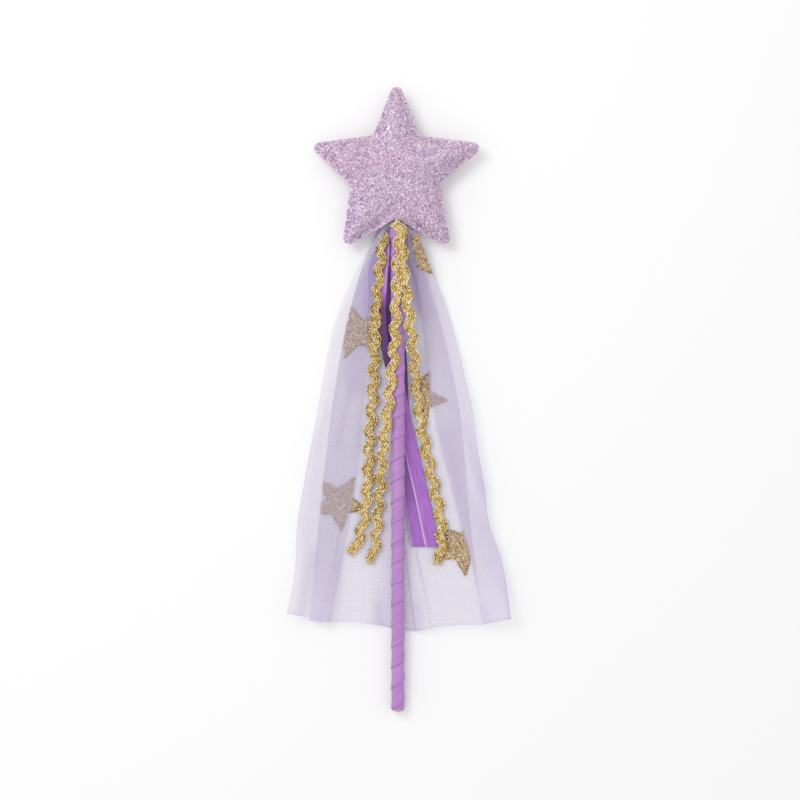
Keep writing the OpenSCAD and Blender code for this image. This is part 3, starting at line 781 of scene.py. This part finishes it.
def over_stick(gap, dip, leaves, lies):
    """Height of a braid that dips into the neck, lies over the tape by a gap, then leaves the stick."""
    def height(d):
        over = axis_z(d) + TAPE_R + gap - dip * fading(d, BRAID_MIDDLE[0][0], 5) ** 2
        return over + (BRAID_Z - over) * rising(d, leaves, lies)
    return height


class WAND_OT_braids(bpy.types.Operator):
    """Three zigzag braid tails of metallic gold, with frayed ends"""
    bl_idname = "wand.braids"
    bl_label = "Zigzag braid tails"

    def execute(self, context):
        middle_z = over_stick(gap=0.75, dip=0.8, leaves=145, lies=200)
        right_z = over_stick(gap=1.95, dip=1.0, leaves=72, lies=130)
        self.tail(context, "left", BRAID_LEFT, LEFT_WAVES, left_braid_z, "wand", seed=11)
        self.tail(context, "middle", BRAID_MIDDLE, MIDDLE_WAVES, middle_z, "wand", seed=23)
        self.tail(context, "right", BRAID_RIGHT, RIGHT_WAVES, right_z, "braid_middle", seed=37)
        return {"FINISHED"}

    def tail(self, context, side, route, waves, height, parent, seed):
        """One tail: a swinging line turned into braid."""
        sizes = context.scene.wand_sizes
        gold = finishes(context)["plaited metallic yarn in gold"]
        d = np.arange(route[0][0], route[-1][0] + BRAID_STEP / 2, BRAID_STEP)
        phase = 2 * np.pi * np.interp(d, *np.transpose(waves))
        middle = along_route(route, d)
        z = height(d)
        swing = -sizes.braid_wave / MM / 2 * np.cos(phase)
        line = placed(middle + swing, d, z + BRAID_RIPPLE * np.sin(phase))
        obj = mesh_object("braid_tail_" + side, line, [], [(i, i + 1) for i in range(len(line) - 1)])
        grown(obj, tree_named("zigzag braid", zigzag_tree), Spacing=1.0 * MM, Band=sizes.braid_band,
              Core=0.35 * MM, Strand=(2.0 * MM, 1.25 * MM, 0.8 * MM), Slant=math.radians(42), Seed=seed,
              Material=gold)
        fray = self.frayed(side, line, gold, seed)
        body = "braid_" + side
        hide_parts("ricrac_" + side)
        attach(fray, body)
        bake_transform(obj)
        path = placed(middle, d, z)[::8] * MM

    def frayed(self, side, line, gold, seed):
        """Loose ends of the strands, fanned out past the cut."""
        rng = np.random.default_rng(seed)
        end = line[-1]
        way = (end - line[-6]) / np.linalg.norm(end - line[-6])
        cross = np.array([-way[1], way[0], 0.0])
        up = np.array([0.0, 0.0, 1.0])
        half_band = 1.9
        fan = 1.3
        sag = 0.9
        inside_braid = 0.6
        points = []
        faces = []
        for _ in range(FRAY_COUNT):
            spread = rng.uniform(-1, 1)
            start = end - inside_braid * way + cross * spread * half_band
            reach = rng.uniform(2.0, 4.6)
            bend = rng.uniform(-1.2, 1.2)
            thick = rng.uniform(0.13, 0.22)
            base = len(points)
            for t in np.linspace(0, 1, FRAY_RINGS):
                spot = start + way * reach * t + cross * (spread * fan + bend * t) * t
                spot = spot + up * (rng.uniform(-0.2, 0.3) - sag * t * t)
                for k in range(FRAY_SIDES):
                    a = 2 * math.pi / FRAY_SIDES * k
                    points.append(spot + thick * (math.cos(a) * cross + math.sin(a) * up))
            for near in range(base, len(points) - FRAY_SIDES, FRAY_SIDES):
                for k in range(FRAY_SIDES):
                    a, b = near + k, near + (k + 1) % FRAY_SIDES
                    faces.append((a, b, b + FRAY_SIDES, a + FRAY_SIDES))
            faces.append(tuple(reversed(range(base, base + FRAY_SIDES))))
            faces.append(tuple(range(len(points) - FRAY_SIDES, len(points))))
        obj = mesh_object("braid_fray_" + side, points, faces, material=gold)
        marked(obj, "strand", np.repeat(rng.uniform(0.45, 1.0, FRAY_COUNT), FRAY_RINGS * FRAY_SIDES))
        return obj


class WAND_OT_satin(bpy.types.Operator):
    """Two violet satin tails that pass under the stick"""
    bl_idname = "wand.satin"
    bl_label = "Satin tails"

    def execute(self, context):
        self.tail(context, "lower", SATIN_LOWER, SATIN_LOWER_Z, ridge=0.0)
        self.tail(context, "upper", SATIN_UPPER, SATIN_UPPER_Z, ridge=3.6)
        return {"FINISHED"}

    def tail(self, context, side, route, lift, ridge):
        """One tail, folded up to a ridge near its root, or flat where that is 0."""
        width = context.scene.wand_sizes.satin_width / MM
        d = np.linspace(route[0][0], route[-1][0], SATIN_ROWS)[:, None]
        u = np.linspace(-1, 1, SATIN_COLUMNS)[None, :]
        tent = np.where(u < RIDGE, rising(u, -1, RIDGE), fading(u, RIDGE, 0.6) ** 1.2)
        gathered = 1 - 0.22 * rising(d, 70, 30)
        x = along_route(route, d) + u * width / 2 * gathered
        grid = placed(x, d, neck_rise(d) + lift + ridge * rising(d, 96, 66) * tent)
        grid[..., 2] += 0.12 * np.sin(d / 9.0 + 2 * u) * rising(d, 110, 150)
        obj = woven("satin_ribbon_" + side, grid, finishes(context)["satin weave in violet"])
        # Painted highlight: a pale line along the ribbon's left edge, which lowers "hollow"
        pale = hump(u, -0.94, 0.15) * rising(d, 150, 180)
        if ridge:
            # Painted shade for the upper ribbon: deep violet in the fold between the braids and on the far
            # side of its ridge, with a painted highlight along the ridge
            fold_shade = rising(d, 46, 62) * rising(d, 120, 102)
            shaded = rising(d, 24, 38) * rising(d, 70, 54) * rising(u, 0.3, 0.55)
            crest_highlight = hump(u, RIDGE, 0.13) * rising(d, 14, 22) * rising(d, 62, 42)
            hollow = np.maximum(0.92 * fold_shade, 0.8 * shaded) - 0.8 * crest_highlight - 0.9 * pale
        else:
            # Painted shade for the lower ribbon, where it passes under the stick and lies in its shadow
            # beside it
            under = rising(d, 50, 70) * (0.25 + 0.6 * rising(d, 140, 115)) * rising(d, 212, 182)
            hollow = under - 0.6 * pale
        marked(obj, "hollow", hollow)
        thickened(obj, RIBBON_THICK)
        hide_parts("satin_tail_" + side)
        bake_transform(obj)


class WAND_OT_organza(bpy.types.Operator):
    """Three gathered organza strips"""
    bl_idname = "wand.organza"
    bl_label = "Organza strips"

    def execute(self, context):
        back = self.strip(context, "organza_back", BACK_LEFT, BACK_RIGHT, back_height,
                          columns=170, sag=6.0, lift=0.0, gather=0.6)
        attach(back, "wand")
        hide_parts("veil_back")
        left = self.strip(context, "organza_left", LEFT_OUT, LEFT_IN, wing_height,
                          columns=36, sag=0.0, lift=-3.0, gather=0.2)
        right = self.strip(context, "organza_right", RIGHT_IN, RIGHT_OUT, wing_height,
                           columns=36, sag=0.0, lift=6.0, gather=0.5)
        for obj, side in ((left, "left"), (right, "right")):
            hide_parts("veil_" + side)
            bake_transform(obj)
        return {"FINISHED"}

    def strip(self, context, name, left, right, height, columns, sag, lift, gather):
        """One strip between two edges. Its outer edge stands off the table by the lift, on the right where
        that is positive, and its hem curls up. The sag is how far its hem hangs lower in the middle, and the
        gather says how much denser it gets where it is narrow."""
        fall_left = left[-1][0] - left[0][0]
        fall_right = right[-1][0] - right[0][0]
        even = np.linspace(0, 1, STRIP_ROWS) ** 1.15
        v = np.append(even[:-1], [1 - TURNED_EDGE / fall_left, 1.0])[:, None]
        rows_left = left[0][0] + fall_left * v
        rows_right = right[0][0] + fall_right * v
        x_left = along_route(left, rows_left)
        span = along_route(right, rows_right) - x_left
        wide = float(span.max())
        edge = TURNED_EDGE / wide
        u = np.concatenate([[0.0, edge], np.linspace(0, 1, columns)[1:-1], [1 - edge, 1.0]])[None, :]
        x = x_left + span * u
        d = rows_left + (rows_right - rows_left) * u + sag * hump(u, 0.57, 0.17) * v ** 2
        outer = u if lift > 0 else 1 - u
        z = height(x, d) + abs(lift) * outer ** 2 * rising(d, 45, 135)
        z = z + HEM_CURL * rising(d, 240, 280) * rising(np.abs(x), 7, 21)
        grid = placed(x, d, z)
        layers = self.layers(name, x, d, z, np.clip((wide / span) ** gather, 1.0, 3.0))
        obj = woven(name, grid, finishes(context)["sheer organza in lavender"])
        marked(obj, "layers", layers)
        return obj

    def layers(self, name, x, d, z, drawn_in):
        """How many layers of cloth are seen at each point: more where it is drawn in, steep or turned."""
        across = np.gradient(z, axis=1) / np.gradient(x, axis=1)
        layers = drawn_in * np.sqrt(1 + 4 * across ** 2)
        if name == "organza_left":
            layers = layers * (0.72 + 0.48 * rising(d, 90, 180))
        if name == "organza_right":
            layers = layers * 1.25
        if name == "organza_back":
            for route, breadth, weight in GATHERS:
                ends = ease((d - route[0][0]) / GATHER_FADE) * ease((route[-1][0] - d) / GATHER_FADE)
                layers = layers + weight * ends * hump(x, along_route(route, d), breadth)
            for pleat in PLEATS:
                pressed = hump(x, along_route(pleat, d), PLEAT_WIDTH) * (d > pleat[0][0])
                layers = layers + PLEAT_LAYERS * pressed
        layers[:, :2] += SIDE_LAYERS
        layers[:, -2:] += SIDE_LAYERS
        layers[-2:, :] += HEM_LAYERS
        return layers


class WAND_OT_motifs(bpy.types.Operator):
    """Gold glitter stars on the organza"""
    bl_idname = "wand.motifs"
    bl_label = "Glitter stars"

    def execute(self, context):
        for motif in BACK_MOTIFS:
            obj = self.star(context, motif, BACK_LEFT, BACK_RIGHT, back_height)
            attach(obj, "wand")
        obj = self.star(context, WING_MOTIF, RIGHT_IN, RIGHT_OUT, wing_height)
        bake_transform(obj)
        return {"FINISHED"}

    def star(self, context, motif, left, right, height):
        """One printed star, left off where its cloth is turned under or ends."""
        node, cx, cd, turn = motif
        sizes = context.scene.wand_sizes
        big = sizes.motif / MM
        corner = np.radians(turn + 36 * np.arange(10))
        reach = np.where(np.arange(10) % 2 == 0, big, PRINT_NOTCH * big)
        sharp = np.stack([reach * np.cos(corner), reach * np.sin(corner)], axis=1)
        t = np.linspace(0, 1, 8, endpoint=False)[:, None]
        outline = np.concatenate([a + (b - a) * t for a, b in zip(sharp, np.roll(sharp, -1, axis=0))])
        flat, faces = filled(outline, PRINT_MESH)
        d = cd - flat[:, 1]
        x = cx + flat[:, 0]
        top = TURNED_ABOVE.get(node, 0.0)
        low = along_route(TURNED_LEFT.get(node, left), d) + PRINT_MARGIN
        high = along_route(TURNED_RIGHT.get(node, right), d) - PRINT_MARGIN
        shown = (d > top) & (x > low) & (x < high)
        faces = np.array(faces)
        faces = faces[shown[faces].any(axis=1)]
        used, faces = np.unique(faces, return_inverse=True)
        d = np.maximum(d, top)[used]
        x = np.clip(x, low, high)[used]
        points = placed(x, d, height(x, d) + MOTIF_LIFT)
        obj = mesh_object(node + "_glitter", points, faces.reshape(-1, 3).tolist())
        thickened(obj, PRINT_THICK)
        gold = finishes(context)["glitter print in gold"]
        grown(obj, tree_named("strewn glitter", flake_tree, True), Density=0.9 / MM ** 2,
              Flake=1.25 * sizes.flake, Tilt=math.radians(20), Lift=0.06 * MM, Seed=abs(turn), Material=gold)
        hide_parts(node)
        return obj


def edge_distance(points, outline):
    """Least distance of points from an outline."""
    best = np.full(len(points), np.inf)
    for p, q in zip(outline, np.roll(outline, -1, axis=0) - outline):
        t = np.clip(((points - p) @ q) / max(q @ q, 1e-9), 0, 1)
        best = np.minimum(best, np.linalg.norm(points - p - t[:, None] * q, axis=1))
    return best


def inside(points, outline):
    """Which points lie inside an outline."""
    x, y = points[:, 0], points[:, 1]
    found = np.zeros(len(points), bool)
    for (ax, ay), (bx, by) in zip(outline, np.roll(outline, -1, axis=0)):
        if ay != by:
            found ^= ((ay > y) != (by > y)) & (x < (bx - ax) * (y - ay) / (by - ay) + ax)
    return found


def filled(outline, spacing):
    """Even triangles that fill an outline. The outline's points come first."""
    low, high = outline.min(axis=0), outline.max(axis=0)
    row_step = 0.866 * spacing
    clear = 0.55 * spacing
    spots = []
    for k, y in enumerate(np.arange(low[1], high[1], row_step)):
        spots += [(x, y) for x in np.arange(low[0] + spacing / 2 * (k % 2), high[0], spacing)]
    spots = np.array(spots)
    spots = spots[inside(spots, outline)]
    spots = spots[edge_distance(spots, outline) > clear]
    points = np.concatenate([outline, spots])
    count = len(outline)
    ring = [(i, (i + 1) % count) for i in range(count)]
    found = delaunay_2d_cdt([Vector(p) for p in points], ring, [], 1, 1e-6)
    return np.array([tuple(p) for p in found[0]]), [tuple(f) for f in found[2]]


def star_shape(sizes, inset):
    """Outline of the star, moved in from its raw edge, with the same count of points for any inset."""
    point, notch = sizes.star_point / MM, sizes.star_notch / MM
    step = math.radians(36)
    tip_half = math.atan2(notch * math.sin(step), point - notch * math.cos(step))
    notch_half = step + tip_half
    tip_round = sizes.tip_round / MM
    notch_round = sizes.notch_round / MM
    tip_at = point - tip_round / math.sin(tip_half)
    notch_at = notch + notch_round / math.sin(notch_half)
    quarter = math.pi / 2

    def arc(a, at, r, start, stop, count):
        angles = np.linspace(start, stop, count)[:, None]
        centre = at * np.array([[math.cos(a), math.sin(a)]])
        return centre + r * np.concatenate([np.cos(angles), np.sin(angles)], 1)

    def tip(a):
        return arc(a, tip_at, tip_round - inset, a - quarter + tip_half, a + quarter - tip_half, 11)

    def hollow(a, out):
        return arc(a, notch_at + out, notch_round + inset, a + 3 * quarter - notch_half,
                   a + quarter + notch_half, 7)

    share = np.linspace(0, 1, 15)[1:-1, None]
    parts = []
    for k, (turn, out) in enumerate(UNEVEN_NOTCHES):
        a = quarter + 2 * step * k
        top, low, after = tip(a), hollow(a + step + math.radians(turn), out), tip(a + 2 * step)
        parts += [top, top[-1] + (low[0] - top[-1]) * share, low, low[-1] + (after[0] - low[-1]) * share]
    return np.concatenate(parts), tip_at + tip_round


class WAND_OT_star(bpy.types.Operator):
    """Padded glitter star of two panels, with its seam and its flakes"""
    bl_idname = "wand.star"
    bl_label = "Padded star"

    def execute(self, context):
        sizes = context.scene.wand_sizes
        raw = sizes.raw_edge / MM
        outer, reach = star_shape(sizes, 0.0)
        seam = star_shape(sizes, raw)[0]
        middle = star_shape(sizes, 0.5 * raw)[0]
        count = len(seam)
        centre_y = STAR_TOP_Y - reach
        flat, faces = filled(seam, STAR_MESH)
        inward = edge_distance(flat, seam)
        inward[:count] = 0.0
        t = np.clip(inward / CROWN_RUN, 0, 1)
        crown = sizes.crown / MM * (1 - (1 - t) ** 2) ** CROWN_FULLNESS
        dome = self.raised(flat, centre_y, PANEL_START + np.maximum(crown, self.arch(sizes, flat)))
        dome = self.swollen(dome, faces, count)
        around = np.arctan2(flat[:, 1], flat[:, 0])
        pucker = 0.08 * np.sin(46 * around) + 0.06 * np.sin(83 * around + 1)
        dome[:, 2] += pucker * hump(inward, 3.2, 2.2) * (inward > 0)
        rims = self.rims(sizes, outer, middle, centre_y, count)
        glitter = finishes(context)["glitter cloth in lilac"]
        front = self.panel("star_front", dome, rims, faces, count, 1, glitter)
        back = self.panel("star_back", dome, rims, faces, count, -1, glitter)
        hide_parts("star_front_panel", "star_wadding_front")
        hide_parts("star_back_panel", "star_wadding_back")
        for panel, seed in ((front, 3), (back, 4)):
            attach(panel, "wand")
            self.flakes(context, panel, seed, glitter)
        self.stitches(context, seam, centre_y)
        return {"FINISHED"}

    def raised(self, flat, centre_y, up):
        """Points of the flat star in their place, raised from the seam."""
        return np.column_stack([flat[:, 0] + STAR_X, flat[:, 1] + centre_y, SEAM_Z + up])

    def arch(self, sizes, flat):
        """Rise of the bottom notch over the stick."""
        rise = sizes.arch / MM * np.clip(1 - (flat[:, 0] / ARCH_HALF) ** 2, 0, None)
        return np.where(flat[:, 1] < 0, rise, 0.0)

    def swollen(self, dome, faces, count):
        """Lets the filling press the panel out from its seam."""
        obj = mesh_object("filling", dome, faces)
        pins = obj.vertex_groups.new(name="seam")
        pins.add(list(range(count)), 1.0, "REPLACE")
        cloth = obj.modifiers.new("cloth", "CLOTH")
        cloth.settings.vertex_group_mass = "seam"
        cloth.settings.use_pressure = True
        cloth.settings.uniform_pressure_force = 4.0
        cloth.settings.effector_weights.gravity = 0.0
        cloth.point_cache.frame_start = 1
        cloth.point_cache.frame_end = FILLING_FRAMES
        scene = bpy.context.scene
        for step in range(1, FILLING_FRAMES + 1):
            scene.frame_set(step)
        found = obj.evaluated_get(bpy.context.evaluated_depsgraph_get()).data
        moved = np.zeros(len(dome) * 3)
        found.vertices.foreach_get("co", moved)
        shift = moved.reshape(-1, 3) / MM - dome
        far = np.linalg.norm(shift, axis=1, keepdims=True)
        scene.frame_set(1)
        bpy.data.objects.remove(obj)
        return dome + shift * np.minimum(1, MOST_SWELL / np.maximum(far, 1e-6))

    def rims(self, sizes, outer, middle, centre_y, count):
        """Rings of the raw edge outside the seam, slightly uneven as cut by hand."""
        around = np.arange(count) / count * 2 * np.pi
        uneven = 0.99 + 0.0007 * np.sin(31 * around) + 0.0005 * np.sin(57 * around + 2)
        wave = 0.04 * np.sin(40 * around) + 0.03 * np.sin(23 * around + 1)
        cut = outer * uneven[:, None]
        rings = []
        for ring, up, waves in ((middle, SEAM_TOP, 1), (cut, 0.7, 1), (cut * 1.008, 0.1, 0)):
            rings.append(self.raised(ring, centre_y, up + self.arch(sizes, ring) + wave * waves))
        return rings

    def panel(self, name, dome, rims, faces, count, way, glitter):
        """One panel: the cushion's dome with the raw edge round it, thickened inwards."""
        points = np.concatenate([dome] + rims)
        starts = [0] + [len(dome) + k * count for k in range(len(rims))]
        bands = []
        for near, far in zip(starts, starts[1:]):
            for i in range(count):
                k = (i + 1) % count
                bands.append((near + i, far + i, far + k, near + k))
        shown = list(faces) + bands
        if way < 0:
            points[:, 2] = np.maximum(2 * SEAM_Z - points[:, 2], TABLE_GAP)
            shown = [tuple(reversed(f)) for f in shown]
        obj = mesh_object(name, points, shown, material=glitter)
        obj.data.materials.append(bpy.data.materials["raw cloth edge in lilac"])
        for face in obj.data.polygons[len(shown) - count:]:
            face.material_index = 1
        smooth = obj.modifiers.new("smooth", "SUBSURF")
        smooth.levels = 1
        smooth.render_levels = 1
        settled(obj)
        return thickened(obj, STAR_CLOTH, offset=-1.0)

    def flakes(self, context, panel, seed, glitter):
        """Loose-looking flakes on the outside of a panel."""
        obj = bpy.data.objects.new(panel.name + "_flakes", panel.data.copy())
        context.scene.collection.objects.link(obj)
        skin = bmesh.new()
        skin.from_mesh(obj.data)
        way = 1 if panel.name == "star_front" else -1
        hidden = [f for f in skin.faces if f.normal.z * way < 0.05 or f.material_index]
        bmesh.ops.delete(skin, geom=hidden, context="FACES")
        skin.to_mesh(obj.data)
        skin.free()
        grown(obj, tree_named("loose flakes", flake_tree, False), Density=1.0 / MM ** 2,
              Flake=context.scene.wand_sizes.flake, Tilt=math.radians(18), Lift=0.08 * MM, Seed=seed,
              Material=glitter)
        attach(obj, "wand")

    def stitches(self, context, seam, centre_y):
        """Stitches of the seam, sunk where the filling begins."""
        sizes = context.scene.wand_sizes
        outside_seam = 1.006
        line = self.raised(seam * outside_seam, centre_y, SEAM_TOP + self.arch(sizes, seam))
        count = len(line)
        obj = mesh_object("star_stitches", line, [], [(i, (i + 1) % count) for i in range(count)])
        thread = finishes(context)["twisted thread in lilac"]
        grown(obj, tree_named("seam stitches", stitch_tree), Spacing=1.25 * sizes.stitch,
              Stitch=(sizes.stitch, 0.45 * MM, 0.45 * MM), Material=thread)
        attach(obj, "wand")
        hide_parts("star_seam_thread")


class WAND_OT_stick(bpy.types.Operator):
    """Wound satin ribbon, neck binding, dowel and glue"""
    bl_idname = "wand.stick"
    bl_label = "Wrapped stick"

    def execute(self, context):
        pitch = context.scene.wand_sizes.wrap_pitch
        looks = finishes(context)
        # The satin painted lighter, as the stick is more lit than the tails
        satin = looks["stretched satin in violet"]
        tilt = math.atan(STICK_SLOPE)
        below_notch = 1.5
        off_table = 0.2
        under_lap = 0.35
        steps_per_turn = 40
        run = (STICK_RUN - below_notch) / math.cos(tilt) * MM
        turns = run / pitch + 1.0
        obj = mesh_object("handle_ribbon", [(0, 0, 0)], [])
        place = Vector((0.0, STICK_LOW[1], STICK_R + off_table)) * MM
        grown(obj, tree_named("wound ribbon", wrap_tree), Length=run, Radius=(STICK_R - under_lap) * MM,
              Pitch=pitch, Band=1.2 * pitch, Rise=0.42 * MM, Turns=turns, Start=0.46,
              Steps=int(turns * steps_per_turn), Place=place, Tilt=(tilt - math.pi / 2, 0.0, 0.0),
              Material=satin)
        thickened(obj, RIBBON_THICK, offset=-1.0)
        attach(obj, "wand")
        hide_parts("handle_wrap")
        self.binding(satin)
        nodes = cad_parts
        for node, look in (("dowel", "sanded beech"), ("end_glue_dab", "cloudy hot-melt glue"),
                           ("star_glue_dab", "cloudy hot-melt glue")):
            nodes[node].data.materials.clear()
            nodes[node].data.materials.append(looks[look])
        return {"FINISHED"}

    def binding(self, satin):
        """Ribbon tied round the neck, drawn in by its gathers."""
        low, high = corners("neck_tape")
        v = np.linspace(0, 1, 15)[:, None]
        around = np.linspace(0, 2 * np.pi, 73)[None, :]
        drawn = 0.35 * np.sin(7 * around + 6 * v) + 0.2 * np.sin(13 * around - 4 * v)
        bulge = np.sin(np.pi * v)
        radius = TAPE_R - 0.75 + 0.5 * bulge + 0.5 * drawn * bulge
        d = NECK_Y - high[1] + (high[1] - low[1]) * v
        x = radius * np.cos(around)
        z = axis_z(d) + radius * np.sin(around)
        obj = woven("neck_binding", placed(x, d, z), satin)
        thickened(obj, RIBBON_THICK, offset=-1.0)
        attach(obj, "wand")
        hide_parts("neck_tape")


class WAND_OT_stage(bpy.types.Operator):
    """Plain pale floor, soft studio light and white surroundings"""
    bl_idname = "wand.stage"
    bl_label = "Stage"

    def execute(self, context):
        turns = ((-1, -1), (1, -1), (1, 1), (-1, 1))
        edge = [(x * FLOOR_HALF, y * FLOOR_HALF, FLOOR_Z) for x, y in turns]
        floor = mesh_object("floor", edge, [(0, 1, 2, 3)], material=self.paper())
        lamp = bpy.data.lights.new("window", "AREA")
        lamp.energy = 7.5
        lamp.size = 0.8
        light = bpy.data.objects.new("window", lamp)
        light.location = (-0.75, 0.7, 1.25)
        light.rotation_euler = (-light.location).to_track_quat("-Z", "Y").to_euler()
        context.scene.collection.objects.link(light)
        self.surroundings(context)
        context.scene.view_settings.view_transform = "Standard"
        return {"FINISHED"}

    def background_ray(self, tree):
        """Whether a ray only looks at the background."""
        path = add(tree, "ShaderNodeLightPath").outputs
        sharp = add(tree, "ShaderNodeMath", {0: path["Is Camera Ray"], 1: path["Is Glossy Ray"]},
                    operation="MAXIMUM")
        return add(tree, "ShaderNodeMath", {0: sharp, 1: path["Is Transmission Ray"]}, operation="MAXIMUM")

    def paper(self):
        """White paper: matt, with a little glow for the camera so that it stays white but keeps shadows."""
        tree, shader = finish_named("white paper")
        glow = add(tree, "ShaderNodeMath", {0: self.background_ray(tree), 1: 0.06}, operation="MULTIPLY")
        feed(tree, shader, {"Base Color": srgb("#F7F7F7"), "Roughness": 0.9, "Specular IOR Level": 0.0,
                            "Emission Color": WHITE, "Emission Strength": glow})
        return bpy.data.materials["white paper"]

    def surroundings(self, context):
        """Even soft light, white where it is seen."""
        world = bpy.data.worlds.new("surroundings")
        world.use_nodes = True
        context.scene.world = world
        tree = world.node_tree
        tree.nodes.clear()
        soft = add(tree, "ShaderNodeBackground", {"Color": WHITE, "Strength": 0.8})
        shown = add(tree, "ShaderNodeBackground", {"Color": WHITE, "Strength": 1.0})
        either = add(tree, "ShaderNodeMixShader", {0: self.background_ray(tree), 1: soft, 2: shown})
        add(tree, "ShaderNodeOutputWorld", {"Surface": either})


class WAND_PT_pieces(bpy.types.Panel):
    """Pieces of the wand, with their sizes and colours"""
    bl_idname = "WAND_PT_pieces"
    bl_label = "Toy magic wand"
    bl_space_type = "VIEW_3D"
    bl_region_type = "UI"
    bl_category = "Wand"

    def draw(self, context):
        for group in (context.scene.wand_sizes, context.scene.wand_colours):
            column = self.layout.column()
            for key in group.bl_rna.properties.keys():
                if key not in ("rna_type", "name"):
                    column.prop(group, key)
        for operator in OPERATORS:
            self.layout.operator(operator.bl_idname)


OPERATORS = (WAND_OT_camera, WAND_OT_braids, WAND_OT_satin, WAND_OT_organza, WAND_OT_motifs, WAND_OT_star,
             WAND_OT_stick, WAND_OT_stage)
CLASSES = (WandSizes, WandColours) + OPERATORS + (WAND_PT_pieces,)


def register():
    for cls in CLASSES:
        bpy.utils.register_class(cls)
    bpy.types.Scene.wand_sizes = bpy.props.PointerProperty(type=WandSizes)
    bpy.types.Scene.wand_colours = bpy.props.PointerProperty(type=WandColours)


def unregister():
    del bpy.types.Scene.wand_colours
    del bpy.types.Scene.wand_sizes
    for cls in reversed(CLASSES):
        bpy.utils.unregister_class(cls)


def main():
    register()
    bpy.ops.wand.camera()
    bpy.ops.wand.braids()
    bpy.ops.wand.satin()
    bpy.ops.wand.organza()
    bpy.ops.wand.motifs()
    bpy.ops.wand.star()
    bpy.ops.wand.stick()
    bpy.ops.wand.stage()
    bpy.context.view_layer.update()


if __name__ == "__main__":
    main()
